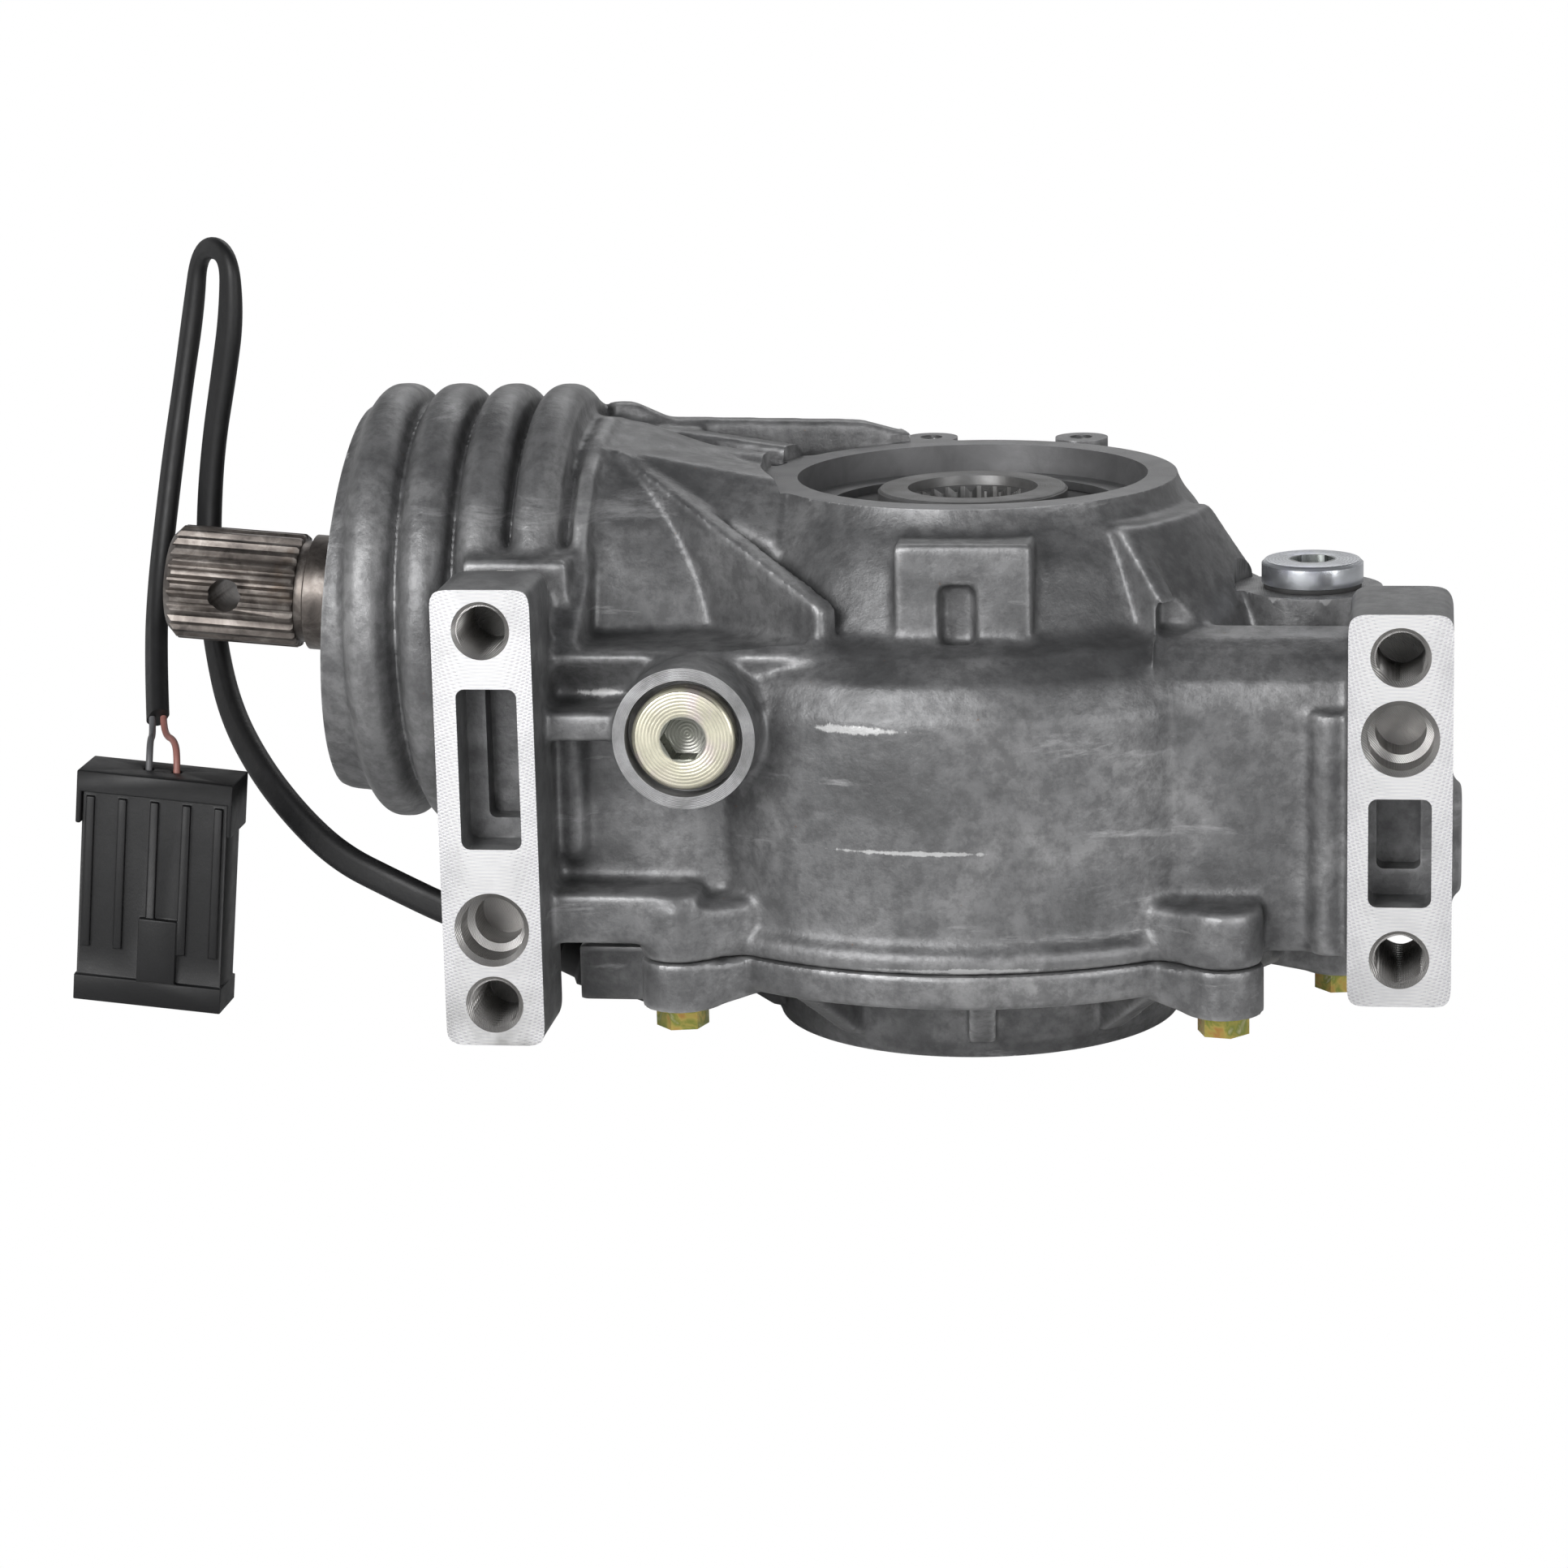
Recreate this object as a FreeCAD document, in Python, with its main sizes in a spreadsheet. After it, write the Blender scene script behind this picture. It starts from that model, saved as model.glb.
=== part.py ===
import FreeCAD, Part
import math
import os
import re
import Sketcher

# Front differential for an off-road vehicle: a bevel gear pair in a cast case, with an
# electromagnetic roller clutch between the ring gear and the two output hubs.
# Frame: origin on the output axis in the plane of the cover's base ring, +Z up the output
# axis, the pinion shaft towards -X and the mounting pads facing -Y. Millimetres and degrees.

SIZES = (
    # case and cover
    ("bell_radius", 78.0, "outside of the bell"),
    ("bell_bore", 72.0, "inside of the bell"),
    ("shoulder_height", 83.0, "where the bell wall turns in"),
    ("neck_foot_height", 97.5, "foot of the neck on the shoulder"),
    ("neck_foot_radius", 60.0, "neck at its foot"),
    ("neck_radius", 50.5, "neck under the rim"),
    ("rim_radius", 46.0, "machined rim of the case and base ring of the cover"),
    ("rim_flare", 2.0, "how far the rim flares out below its edge"),
    ("flange_radius", 80.5, "joint flange"),
    ("case_flange_thickness", 4.0, "flange on the case side"),
    ("cover_flange_thickness", 6.8, "flange on the cover side"),
    ("recess_radius", 39.6, "recess round each output"),
    ("recess_depth", 6.5, "recess in the case"),
    ("cover_recess_depth", 9.3, "recess in the cover"),
    ("seal_bore_depth", 6.8, "seat of each output seal"),
    ("lip_thickness", 1.7, "lip between seal seat and bearing seat"),
    ("lip_radius", 31.0, "bore of that lip"),
    ("seat_gap", 0.02, "radial gap of a seated part"),
    ("running_gap", 0.05, "radial gap of a running fit"),
    ("free_gap", 0.3, "gap between parts that only pass each other"),
    # pinion snout
    ("apex_height", 84.0, "point where pinion axis and output axis meet"),
    ("pinion_tilt", 4.5, "rise of the pinion axis towards its tip"),
    ("snout_radius", 44.6, "snout between its ribs"),
    ("snout_length", 142.4, "snout front face along the pinion axis"),
    ("snout_inner_start", 30.0, "snout core starts here along the pinion axis"),
    ("rib_crest", 49.3, "crest of the snout ribs"),
    ("rib_half_width", 3.9, "half width of a snout rib"),
    ("rib_first", 93.1, "rib nearest the bell, distance from the output axis"),
    ("rib_pitch", 12.63, "spacing of the ribs"),
    ("tunnel_radius", 22.8, "bore for the pinion head"),
    ("tunnel_start", 30.0, "start of that bore along the pinion axis"),
    # pads
    ("pad_face", 85.0, "machined pad faces in front of the output axis"),
    ("pad_corner", 2.5, "chamfer at the corners of the pads"),
    ("left_column", 97.3, "hole column of the left pad"),
    ("left_pad_width", 21.6, "left pad"),
    ("left_pad_depth", 24.0, "left pad block behind its face"),
    ("left_pad_bottom", 12.8, "left pad"),
    ("left_pad_top", 113.5, "left pad"),
    ("right_column", 96.9, "hole column of the right pad"),
    ("right_pad_width", 21.8, "right pad"),
    ("right_pad_depth", 33.0, "right pad block behind its face"),
    ("right_pad_bottom", 24.4, "right pad"),
    ("right_pad_top", 108.8, "right pad"),
    ("thread_bore", 5.05, "tapping bore of the pad threads"),
    ("thread_depth", 20.0, "depth of the blind threads"),
    ("thread_chamfer", 6.3, "mouth of the threads"),
    ("dowel_bore", 7.0, "locating bore in each pad"),
    ("dowel_bore_depth", 8.0, "depth of that bore"),
    ("dowel_relief", 5.4, "smaller bore behind it"),
    ("dowel_chamfer", 8.2, "mouth of that bore"),
    ("left_upper_thread", 104.6, "height"),
    ("left_dowel", 38.7, "height"),
    ("left_lower_thread", 22.0, "height"),
    ("right_upper_thread", 99.7, "height"),
    ("right_dowel", 82.4, "height"),
    ("right_lower_thread", 34.7, "height"),
    ("left_pocket_bottom", 56.6, "pocket in the left pad"),
    ("left_pocket_top", 91.9, "pocket in the left pad"),
    ("right_pocket_bottom", 46.1, "pocket in the right pad"),
    ("right_pocket_top", 69.5, "pocket in the right pad"),
    ("pocket_width", 13.2, "width of the pad pockets"),
    ("pocket_depth", 17.0, "depth of the pad pockets"),
    # plugs
    ("plug_boss_radius", 15.5, "boss of each plug"),
    ("plug_thread", 9.0, "thread radius of each plug"),
    ("plug_thread_length", 11.0, "threaded length"),
    ("plug_head", 11.2, "head radius of each plug"),
    ("plug_head_height", 5.0, "head"),
    ("plug_socket", 5.0, "hex socket, across corners, radius"),
    ("plug_socket_depth", 6.0, "hex socket"),
    ("plug_seal_thickness", 1.2, "sealing ring under the head"),
    ("fill_x", 55.2, "fill plug boss left of the output axis"),
    ("fill_height", 80.0, "fill plug boss"),
    ("fill_face", 79.0, "fill plug boss face in front of the output axis"),
    ("fill_counterbore", 12.8, "recess of the fill plug boss, radius"),
    ("fill_counterbore_depth", 5.5, "that recess"),
    ("drain_x", 77.0, "second plug boss"),
    ("drain_y", 20.0, "second plug boss in front of the output axis"),
    ("drain_boss_height", 4.5, "second plug boss, its face above the foot of the neck"),
    # joint bolts
    ("bolt_circle", 88.5, "radius of the joint bolts"),
    ("bolt_boss", 8.7, "boss and ear radius"),
    ("bolt_boss_height", 12.7, "case bosses above the joint plane"),
    ("bolt_ear_depth", 11.0, "cover ears below the joint plane"),
    ("bolt_radius", 3.0, "M6 shank"),
    ("bolt_length", 22.0, "under the head"),
    ("bolt_head_flats", 5.0, "half of the width across flats"),
    ("bolt_head_height", 4.6, "head"),
    ("dowel_radius", 4.3, "hollow dowels round two of the joint bolts"),
    ("dowel_inner", 3.3, "their bore"),
    ("dowel_length", 10.0, "their length"),
    # gears
    ("ring_teeth", 44, "bevel ring gear"),
    ("pinion_teeth", 12, "bevel pinion"),
    ("ring_pitch_radius", 62.0, "outer pitch radius of the ring gear"),
    ("face_width", 18.0, "gear face along the cone"),
    ("pressure_angle", 20.0, "teeth"),
    ("ring_addendum", 0.7, "in modules"),
    ("pinion_addendum", 1.3, "in modules"),
    ("tip_clearance", 0.22, "in modules"),
    ("backlash", 0.09, "taken off each tooth, in modules"),
    ("ring_mounting", 25.2, "back face of the ring gear below the apex"),
    ("gear_bolt_circle", 49.5, "bolts of the ring gear"),
    ("gear_bolt_radius", 3.5, "bolts of the ring gear"),
    ("gear_bolt_count", 10, "bolts of the ring gear"),
    ("gear_bolt_hole", 5.0, "depth of their holes in the ring gear"),
    # clutch
    ("roller_count", 12, "rollers in each row"),
    ("roller_radius", 4.0, "roller"),
    ("roller_length", 16.5, "roller"),
    ("hub_race", 26.0, "hub drum that the rollers grip"),
    ("wedge_angle", 4.0, "turn from a pocket's middle to where a roller wedges"),
    ("drum_radius", 39.5, "outside of the clutch drum"),
    ("floor_thickness", 5.0, "drum floor"),
    ("clutch_play", 0.7, "play of hubs and thrust washers between drum floor and cap"),
    ("cap_thickness", 3.6, "clutch cap"),
    ("cap_radius", 36.2, "clutch cap"),
    ("cap_shoulder", 5.4, "shoulder of the cap under its bearing"),
    ("drum_edge", 1.1, "edge of the drum above the ring over the cap"),
    ("snap_ring_thickness", 1.3, "ring over the clutch cap"),
    ("snap_ring_bite", 1.3, "how deep the snap rings sit in their grooves"),
    ("gear_flange_radius", 57.0, "flange that carries the ring gear"),
    ("gear_flange_thickness", 7.0, "that flange"),
    ("hub_gap", 2.0, "gap between the two hubs, filled by the thrust button"),
    ("hub_neck", 21.5, "outside of the hub necks"),
    ("hub_drum_length", 19.5, "length of the hub drums"),
    ("hub_rise", 3.0, "hub faces inside the rims"),
    ("hub_bore", 14.7, "plain mouth of the splined hub bore"),
    ("hub_mouth_depth", 2.2, "depth of that plain mouth"),
    ("hub_spline_major", 14.45, "spline root radius"),
    ("hub_spline_minor", 12.9, "spline tip radius"),
    ("hub_spline_count", 24, "spline teeth of the hubs"),
    ("hub_web", 5.0, "closed end of each hub bore"),
    ("thrust_thickness", 1.4, "thrust washers"),
    ("cage_inner", 26.6, "roll cage"),
    ("cage_outer", 32.4, "roll cage"),
    ("cage_tang_angle", 16.0, "width of a cage tang"),
    ("cage_tang_count", 3, "tangs from the cage to the armature"),
    ("cage_shift", 2.5, "turn of the cage each way"),
    ("armature_outer", 52.0, "armature plate"),
    ("armature_thickness", 3.0, "armature plate"),
    ("armature_room", 0.6, "room between armature plate and drum"),
    ("armature_travel", 0.4, "armature plate"),
    ("air_gap", 0.3, "left between armature and coil housing when pulled in"),
    ("coil_seat_depth", 1.5, "seat of the coil below the joint plane"),
    ("coil_housing_outer", 54.0, "coil housing"),
    ("coil_housing_inner", 29.6, "coil housing"),
    ("coil_housing_height", 10.2, "coil housing"),
    ("coil_wall", 4.7, "walls of the coil housing"),
    ("coil_floor", 1.8, "floor of the coil housing"),
    # bearings and seals
    ("carrier_neck", 27.5, "bearing seats of the clutch drum and cap"),
    ("carrier_bearing_outer", 36.0, "carrier bearings"),
    ("carrier_bearing_width", 9.0, "carrier bearings"),
    ("carrier_ball", 2.4, "carrier bearing balls"),
    ("carrier_ball_count", 12, "carrier bearing balls"),
    ("output_seal_outer", 33.0, "output seals"),
    ("output_seal_thickness", 5.0, "output seals"),
    ("pinion_bearing_start", 79.0, "along the pinion axis"),
    ("pinion_bearing_width", 24.0, "pinion bearing"),
    ("pinion_bearing_outer", 31.0, "pinion bearing"),
    ("pinion_seat", 15.0, "bearing and seal seat on the shaft"),
    ("pinion_ball", 4.4, "pinion bearing balls"),
    ("pinion_ball_count", 9, "pinion bearing balls in each row"),
    ("pinion_seal_inset", 9.4, "inner side of the pinion seal behind the snout face"),
    ("pinion_seal_thickness", 7.0, "pinion seal"),
    ("pinion_snap_thickness", 2.0, "snap rings at the pinion bearing"),
    # shaft end
    ("shaft_reach", 44.8, "tip of the shaft beyond the snout face"),
    ("spline_length", 30.7, "shaft spline"),
    ("neck_length", 2.5, "groove between collar and spline"),
    ("spline_tip_radius", 13.2, "shaft spline"),
    ("spline_root_radius", 12.1, "shaft spline"),
    ("shaft_spline_count", 26, "shaft spline"),
    ("shaft_neck", 11.7, "groove behind the spline"),
    ("collar_radius", 13.3, "collar before the spline"),
    ("cross_hole", 3.8, "hole across the shaft"),
    ("cross_hole_inset", 14.7, "that hole behind the shaft tip"),
    # lead
    ("sleeve_radius", 3.5, "sleeve of the lead"),
    ("wire_radius", 0.8, "each wire"),
    ("grommet_radius", 5.0, "grommet"),
    ("connector_width", 34.0, "connector"),
    ("connector_depth", 14.0, "connector"),
    ("connector_height", 49.6, "connector without its lock"),
    ("lock_top", 5.0, "top of the connector's lock"),
    ("lock_ear", 7.5, "how far the ears of the lock reach down"),
    ("terminal_offset", 3.3, "terminals beside the middle of the connector"),
    ("terminal_foot", 17.0, "lower end of the terminals above the connector's underside"),
    ("connector_x", 189.8, "bottom of the connector, left of the output axis"),
    ("connector_y", 27.0, "connector in front of the output axis"),
    ("connector_bottom", 5.3, "underside of the connector"),
    ("connector_tilt", 5.5, "lean of the connector"),
)

# Heights and lengths that follow from the stack of pieces, from the cover's lip up to the rim
STACK = (
    ("drain_face", "neck_foot_height + drain_boss_height", "second plug boss, height of its face"),
    ("coil_seat", "cover_recess_depth + seal_bore_depth + lip_thickness + carrier_bearing_width",
     "floor of the coil's seat in the cover"),
    ("joint_height", "coil_seat + coil_seat_depth", "joint plane of case and cover"),
    ("bolt_boss_top", "joint_height + bolt_boss_height", "top of the case bosses"),
    ("bolt_ear_bottom", "joint_height - bolt_ear_depth", "underside of the cover ears"),
    ("armature_foot", "coil_seat + coil_housing_height + armature_travel + air_gap", "armature plate at rest"),
    ("clutch_floor", "armature_foot + armature_thickness + armature_room + floor_thickness",
     "inner floor of the drum"),
    ("hub_split", "clutch_floor + thrust_thickness + hub_drum_length + hub_gap / 2 + clutch_play - 0.1",
     "plane between the two hubs"),
    ("clutch_seat", "hub_split + hub_gap / 2 + hub_drum_length + thrust_thickness + 0.1",
     "underside of the clutch cap"),
    ("drum_top", "clutch_seat + cap_thickness + snap_ring_thickness + drum_edge", "top edge of the clutch drum"),
    ("rim_height", "clutch_seat + cap_thickness + cap_shoulder + carrier_bearing_width + lip_thickness"
     " + seal_bore_depth + recess_depth", "top rim of the case"),
    ("ring_back", "apex_height - ring_mounting", "back face of the ring gear"),
    ("shaft_tip", "snout_length + shaft_reach", "tip of the shaft along its axis"),
    ("spline_start", "shaft_tip - spline_length", "start of the shaft spline"),
    ("collar_end", "spline_start - neck_length", "end of the plain collar"),
    ("cross_hole_place", "shaft_tip - cross_hole_inset", "cross hole along the shaft axis"),
    ("pinion_seal_start", "snout_length - pinion_seal_inset", "pinion seal along the pinion axis"),
)

# Angles of the joint bolts round the output axis, and of the dowels
BOLT_ANGLES = (-132.0, -48.0, -19.0, 42.0, 97.0, 146.0)
DOWEL_ANGLES = (-132.0, 42.0)
PINION_SIDE = 180.0

# Route of the lead: out of the cover behind the left pad, up behind the shaft,
# folded over and down again to the connector
SLEEVE_ROUTE = (
    (-89.733, -44.0, 22.682),
    (-100.1, -44.0, 26.46),
    (-114.6, -42.0, 30.6),
    (-129.2, -39.2, 36.6),
    (-142.2, -33.4, 41.0),
    (-154.0, -24.0, 47.8),
    (-166.0, -11.0, 56.5),
    (-176.2, 4.0, 66.5),
    (-182.4, 17.0, 79.5),
    (-184.4, 21.8, 94.5),
    (-183.8, 22.4, 110.5),
    (-181.4, 21.0, 127.5),
    (-177.4, 18.4, 144.0),
    (-174.2, 16.2, 158.5),
    (-174.0, 16.0, 173.4),
    (-184.2, 28.6, 173.2),
    (-187.0, 30.2, 157.5),
    (-190.2, 29.4, 140.5),
    (-192.8, 27.2, 124.5),
    (-194.6, 23.4, 109.0),
    (-195.4, 16.8, 94.5),
    (-194.2, 6.6, 80.8),
    (-190.6, -7.4, 67.6),
)
SLEEVE_SMALLEST_RADIUS = 1.0
WIRE_ROUTES = (
    ((-191.86, -7.72, 67.6), (-190.94, -11.3, 64.2), (-188.6, -21.9, 65.8), (-187.67, -27.0, 61.9),
     (-188.23, -27.0, 56.0)),
    ((-189.34, -7.08, 67.6), (-188.42, -10.7, 64.2), (-182.8, -21.4, 65.4), (-181.11, -27.0, 61.4),
     (-181.68, -27.0, 55.4)),
)

doc = FreeCAD.newDocument("front_differential")
sheet = doc.addObject("Spreadsheet::Sheet", "Sizes")
for row, (alias, amount, meaning) in enumerate(SIZES, start=1):
    sheet.set(f"A{row}", meaning)
    sheet.set(f"B{row}", str(amount))
    sheet.setAlias(f"B{row}", alias)
doc.recompute()
for row, (alias, formula, meaning) in enumerate(STACK, start=len(SIZES) + 1):
    sheet.set(f"A{row}", meaning)
    sheet.set(f"B{row}", "=" + formula)
    sheet.setAlias(f"B{row}", alias)
    doc.recompute()

ALIAS = re.compile(r"\b(" + "|".join(alias for alias, _, _ in (*SIZES, *STACK)) + r")\b")
UP = FreeCAD.Vector(0, 0, 1)
TURNS = {
    "+z": FreeCAD.Rotation(),
    "-z": FreeCAD.Rotation(FreeCAD.Vector(1, 0, 0), 180),
    "+y": FreeCAD.Rotation(FreeCAD.Vector(1, 0, 0), -90),
    "-y": FreeCAD.Rotation(FreeCAD.Vector(1, 0, 0), 90),
    "-x": FreeCAD.Rotation(FreeCAD.Vector(0, 1, 0), -90),
}
pieces = []


def bound(text):
    """Names the sheet in front of each of its words."""
    return ALIAS.sub(r"Sizes.\1", str(text))


def size(text):
    """Value of a length or angle that is written in the sheet's words."""
    return float(sheet.evalExpression(bound(text)))


def bind(item, **links):
    for name, text in links.items():
        item.setExpression(name, bound(text))


def seat(item, x="0", y="0", z="0"):
    """Ties the place of an object to the sheet."""
    item.setExpression("Placement.Base.x", bound(x))
    item.setExpression("Placement.Base.y", bound(y))
    item.setExpression("Placement.Base.z", bound(z))
    return item


def on_pinion_axis(item):
    """Turns an object whose own Z is the pinion axis, measured from the apex."""
    item.Placement = FreeCAD.Placement(FreeCAD.Vector(), FreeCAD.Rotation(FreeCAD.Vector(0, 1, 0), -80))
    item.setExpression("Placement.Rotation.Angle", bound("pinion_tilt - 90"))
    return seat(item, z="apex_height")


def on_lead_axis(item):
    """Turns an object whose own Z is the axis on which the lead leaves the cover."""
    item.Placement = FreeCAD.Placement(FreeCAD.Vector(), FreeCAD.Rotation(FreeCAD.Vector(0, 1, 0), -70))
    return seat(item, x="-70", y="-44", z="15.5")


def pinion_placement():
    turn = FreeCAD.Rotation(FreeCAD.Vector(0, 1, 0), size("pinion_tilt") - 90)
    return FreeCAD.Placement(FreeCAD.Vector(0, 0, size("apex_height")), turn)


def outline(sketch, corners):
    """Closed outline whose corners are tied to the sheet."""
    places = [FreeCAD.Vector(size(u), size(v), 0) for u, v in corners]
    count = len(places)
    for index, start in enumerate(places):
        sketch.addGeometry(Part.LineSegment(start, places[(index + 1) % count]))
    for index in range(count):
        sketch.addConstraint(Sketcher.Constraint("Coincident", index, 2, (index + 1) % count, 1))
    for index, (u, v) in enumerate(corners):
        for kind, text in (("DistanceX", u), ("DistanceY", v)):
            number = sketch.addConstraint(Sketcher.Constraint(kind, -1, 1, index, 1, size(text)))
            sketch.setExpression(f"Constraints[{number}]", bound(text))


def turned(name, corners):
    """Body turned round its own Z from corners of (radius, height)."""
    body = doc.addObject("PartDesign::Body", name)
    plane = [part for part in body.Origin.OriginFeatures if part.Role == "XZ_Plane"][0]
    sketch = body.newObject("Sketcher::SketchObject", name + "_outline")
    sketch.AttachmentSupport = (plane, [""])
    sketch.MapMode = "FlatFace"
    outline(sketch, corners)
    turning = body.newObject("PartDesign::Revolution", name + "_turned")
    turning.Profile = (sketch, [""])
    turning.ReferenceAxis = (sketch, ["V_Axis"])
    turning.Angle = 360
    return body


def plate(name, corners, thickness, x="0", y="0", z="0", heading=0):
    """Upright plate: corners of (along, height), thickness centred, turned about Z by heading."""
    sketch = doc.addObject("Sketcher::SketchObject", name + "_outline")
    outline(sketch, corners)
    upright = FreeCAD.Rotation(UP, heading) * FreeCAD.Rotation(FreeCAD.Vector(1, 0, 0), 90)
    sketch.Placement = FreeCAD.Placement(FreeCAD.Vector(), upright)
    seat(sketch, x, y, z)
    return extruded(name, sketch, thickness)


def extruded(name, sketch, thickness, centred=True):
    pull = doc.addObject("Part::Extrusion", name)
    pull.Base = sketch
    pull.DirMode = "Normal"
    pull.Solid = True
    pull.Symmetric = centred
    bind(pull, LengthFwd=thickness)
    return pull


def cylinder(name, radius, height, x="0", y="0", z="0", axis="+z"):
    item = doc.addObject("Part::Cylinder", name)
    bind(item, Radius=radius, Height=height)
    item.Placement = FreeCAD.Placement(FreeCAD.Vector(), TURNS[axis])
    return seat(item, x, y, z)


def cone(name, radius, end_radius, height, x="0", y="0", z="0", axis="+z"):
    item = doc.addObject("Part::Cone", name)
    bind(item, Radius1=radius, Radius2=end_radius, Height=height)
    item.Placement = FreeCAD.Placement(FreeCAD.Vector(), TURNS[axis])
    return seat(item, x, y, z)


def box(name, length, width, height, x="0", y="0", z="0"):
    item = doc.addObject("Part::Box", name)
    bind(item, Length=length, Width=width, Height=height)
    return seat(item, x, y, z)


def prism(name, corners, circumradius, height, x="0", y="0", z="0", axis="+z"):
    item = doc.addObject("Part::Prism", name)
    bind(item, Polygon=corners, Circumradius=circumradius, Height=height)
    item.Placement = FreeCAD.Placement(FreeCAD.Vector(), TURNS[axis])
    return seat(item, x, y, z)


def fused(name, items):
    item = doc.addObject("Part::MultiFuse", name)
    item.Shapes = items
    return item


def cut(name, base, tools):
    tool = tools[0] if len(tools) == 1 else fused(name + "_tools", tools)
    item = doc.addObject("Part::Cut", name)
    item.Base = base
    item.Tool = tool
    return item


def shaped(name, shape, placement=None):
    """Object for a form that is worked out from the sheet, such as teeth."""
    item = doc.addObject("Part::Feature", name)
    item.Shape = shape
    if placement:
        item.Placement = placement
    return item


def piece(item, label):
    item.Label = label
    pieces.append(item)
    return item


def ring_of(shape, count, first=0.0):
    """Copies of a shape round the Z axis."""
    copies = []
    for index in range(count):
        copy = shape.copy()
        copy.rotate(FreeCAD.Vector(), UP, first + 360.0 * index / count)
        copies.append(copy)
    return copies


def polar(angle, radius):
    return (f"{radius} * {math.cos(math.radians(angle))}", f"{radius} * {math.sin(math.radians(angle))}")


def closed_face(points):
    return Part.Face(Part.makePolygon([*points, points[0]]))


# Case casting

def snout_outside():
    core = turned("snout_core", [
        ("0", "snout_inner_start"),
        ("29", "snout_inner_start"),
        ("36", "snout_inner_start + 30"),
        ("snout_radius", "snout_inner_start + 56"),
        ("snout_radius", "snout_length - 1"),
        ("snout_radius - 1", "snout_length"),
        ("0", "snout_length"),
    ])
    parts = [on_pinion_axis(core)]
    for index in range(4):
        place = f"(rib_first + {index} * rib_pitch)"
        rib = doc.addObject("Part::Torus", f"snout_rib_{index + 1}")
        bind(rib, Radius1="rib_crest - rib_half_width", Radius2="rib_half_width")
        rib.Placement = FreeCAD.Placement(FreeCAD.Vector(), TURNS["-x"])
        seat(rib, x=f"-{place}", z=f"apex_height + {place} * tan(pinion_tilt * 1 deg)")
        parts.append(rib)
    return parts


def bell_outside():
    return turned("bell", [
        ("0", "joint_height"),
        ("flange_radius", "joint_height"),
        ("flange_radius", "joint_height + case_flange_thickness"),
        ("bell_radius", "joint_height + case_flange_thickness + 2.5"),
        ("bell_radius", "shoulder_height"),
        ("bell_radius - 3", "shoulder_height + 7.5"),
        ("bell_radius - 9.5", "neck_foot_height - 2"),
        ("neck_foot_radius", "neck_foot_height"),
        ("neck_radius + 3", "rim_height - 11.8"),
        ("neck_radius", "rim_height - 7"),
        ("rim_radius + rim_flare", "rim_height - 4"),
        ("rim_radius", "rim_height"),
        ("0", "rim_height"),
    ])


def pad_block(name, middle, width, bottom, top, depth):
    half = f"{width} / 2"
    corner = "pad_corner"
    return plate(name, [
        (f"-{half} + {corner}", bottom),
        (f"{half} - {corner}", bottom),
        (half, f"{bottom} + {corner}"),
        (half, f"{top} - {corner}"),
        (f"{half} - {corner}", top),
        (f"-{half} + {corner}", top),
        (f"-{half}", f"{top} - {corner}"),
        (f"-{half}", f"{bottom} + {corner}"),
    ], depth, x=middle, y=f"{depth} / 2 - pad_face")


def pads_outside():
    left = pad_block("left_pad", "-left_column", "left_pad_width", "left_pad_bottom", "left_pad_top",
                     "left_pad_depth")
    right = pad_block("right_pad", "right_column", "right_pad_width", "right_pad_bottom", "right_pad_top",
                      "right_pad_depth")
    behind_left = box("left_pad_root", "left_pad_width - 3", "45", "left_pad_top - 62",
                      x="-left_column - left_pad_width / 2 + 1.5", y="left_pad_depth - pad_face - 2", z="55")
    left_web = box("left_web", "50", "18", "58", x="-left_column + 9", y="-60", z="joint_height + 6")
    left_tab = box("left_tab", "34", "13", "11.5", x="-left_column + 9", y="-73", z="joint_height + 4")
    left_rib = box("left_rib", "30", "16", "6.5", x="-left_column + 9", y="-74", z="fill_height - 2.2")
    right_web = box("right_web", "46", "20", "right_pad_top - joint_height - 12",
                    x="44", y="-61", z="joint_height + 1")
    right_pillar = cylinder("right_pillar", "5", "right_pad_top - joint_height - 16", x="82", y="-60",
                            z="joint_height + 1")
    right_bump = box("right_bump", "3", "12", "22", x="right_column + right_pad_width / 2 - 1",
                     y="-pad_face + 8", z="right_pocket_bottom + 1")
    return [left, right, behind_left, left_web, left_tab, left_rib, right_web, right_pillar, right_bump]


def bosses_outside():
    parts = [
        cylinder("fill_boss", "plug_boss_radius", "30", x="-fill_x", y="-fill_face", z="fill_height",
                 axis="+y"),
        cylinder("drain_boss", "plug_boss_radius", "26", x="drain_x", y="-drain_y", z="drain_face - 26"),
        box("neck_boss", "30", "19", "21.5", x="-11.7", y="-59.5", z="neck_foot_height - 0.5"),
        cylinder("rim_boss_left", "6.3", "26", x="-14.5", y="50.5", z="rim_height - 26"),
        cylinder("rim_boss_right", "6.3", "26", x="21", y="50.5", z="rim_height - 26"),
    ]
    for index, angle in enumerate(BOLT_ANGLES, start=1):
        x, y = polar(angle, "bolt_circle")
        inner_x, inner_y = polar(angle, "(bolt_circle - 12)")
        boss_height = "bolt_boss_top - joint_height"
        parts.append(cylinder(f"bolt_boss_{index}", "bolt_boss", boss_height, x, y, "joint_height"))
        parts.append(cylinder(f"bolt_root_{index}", "bolt_boss + 2", boss_height, inner_x, inner_y,
                              "joint_height"))
    return parts


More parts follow.
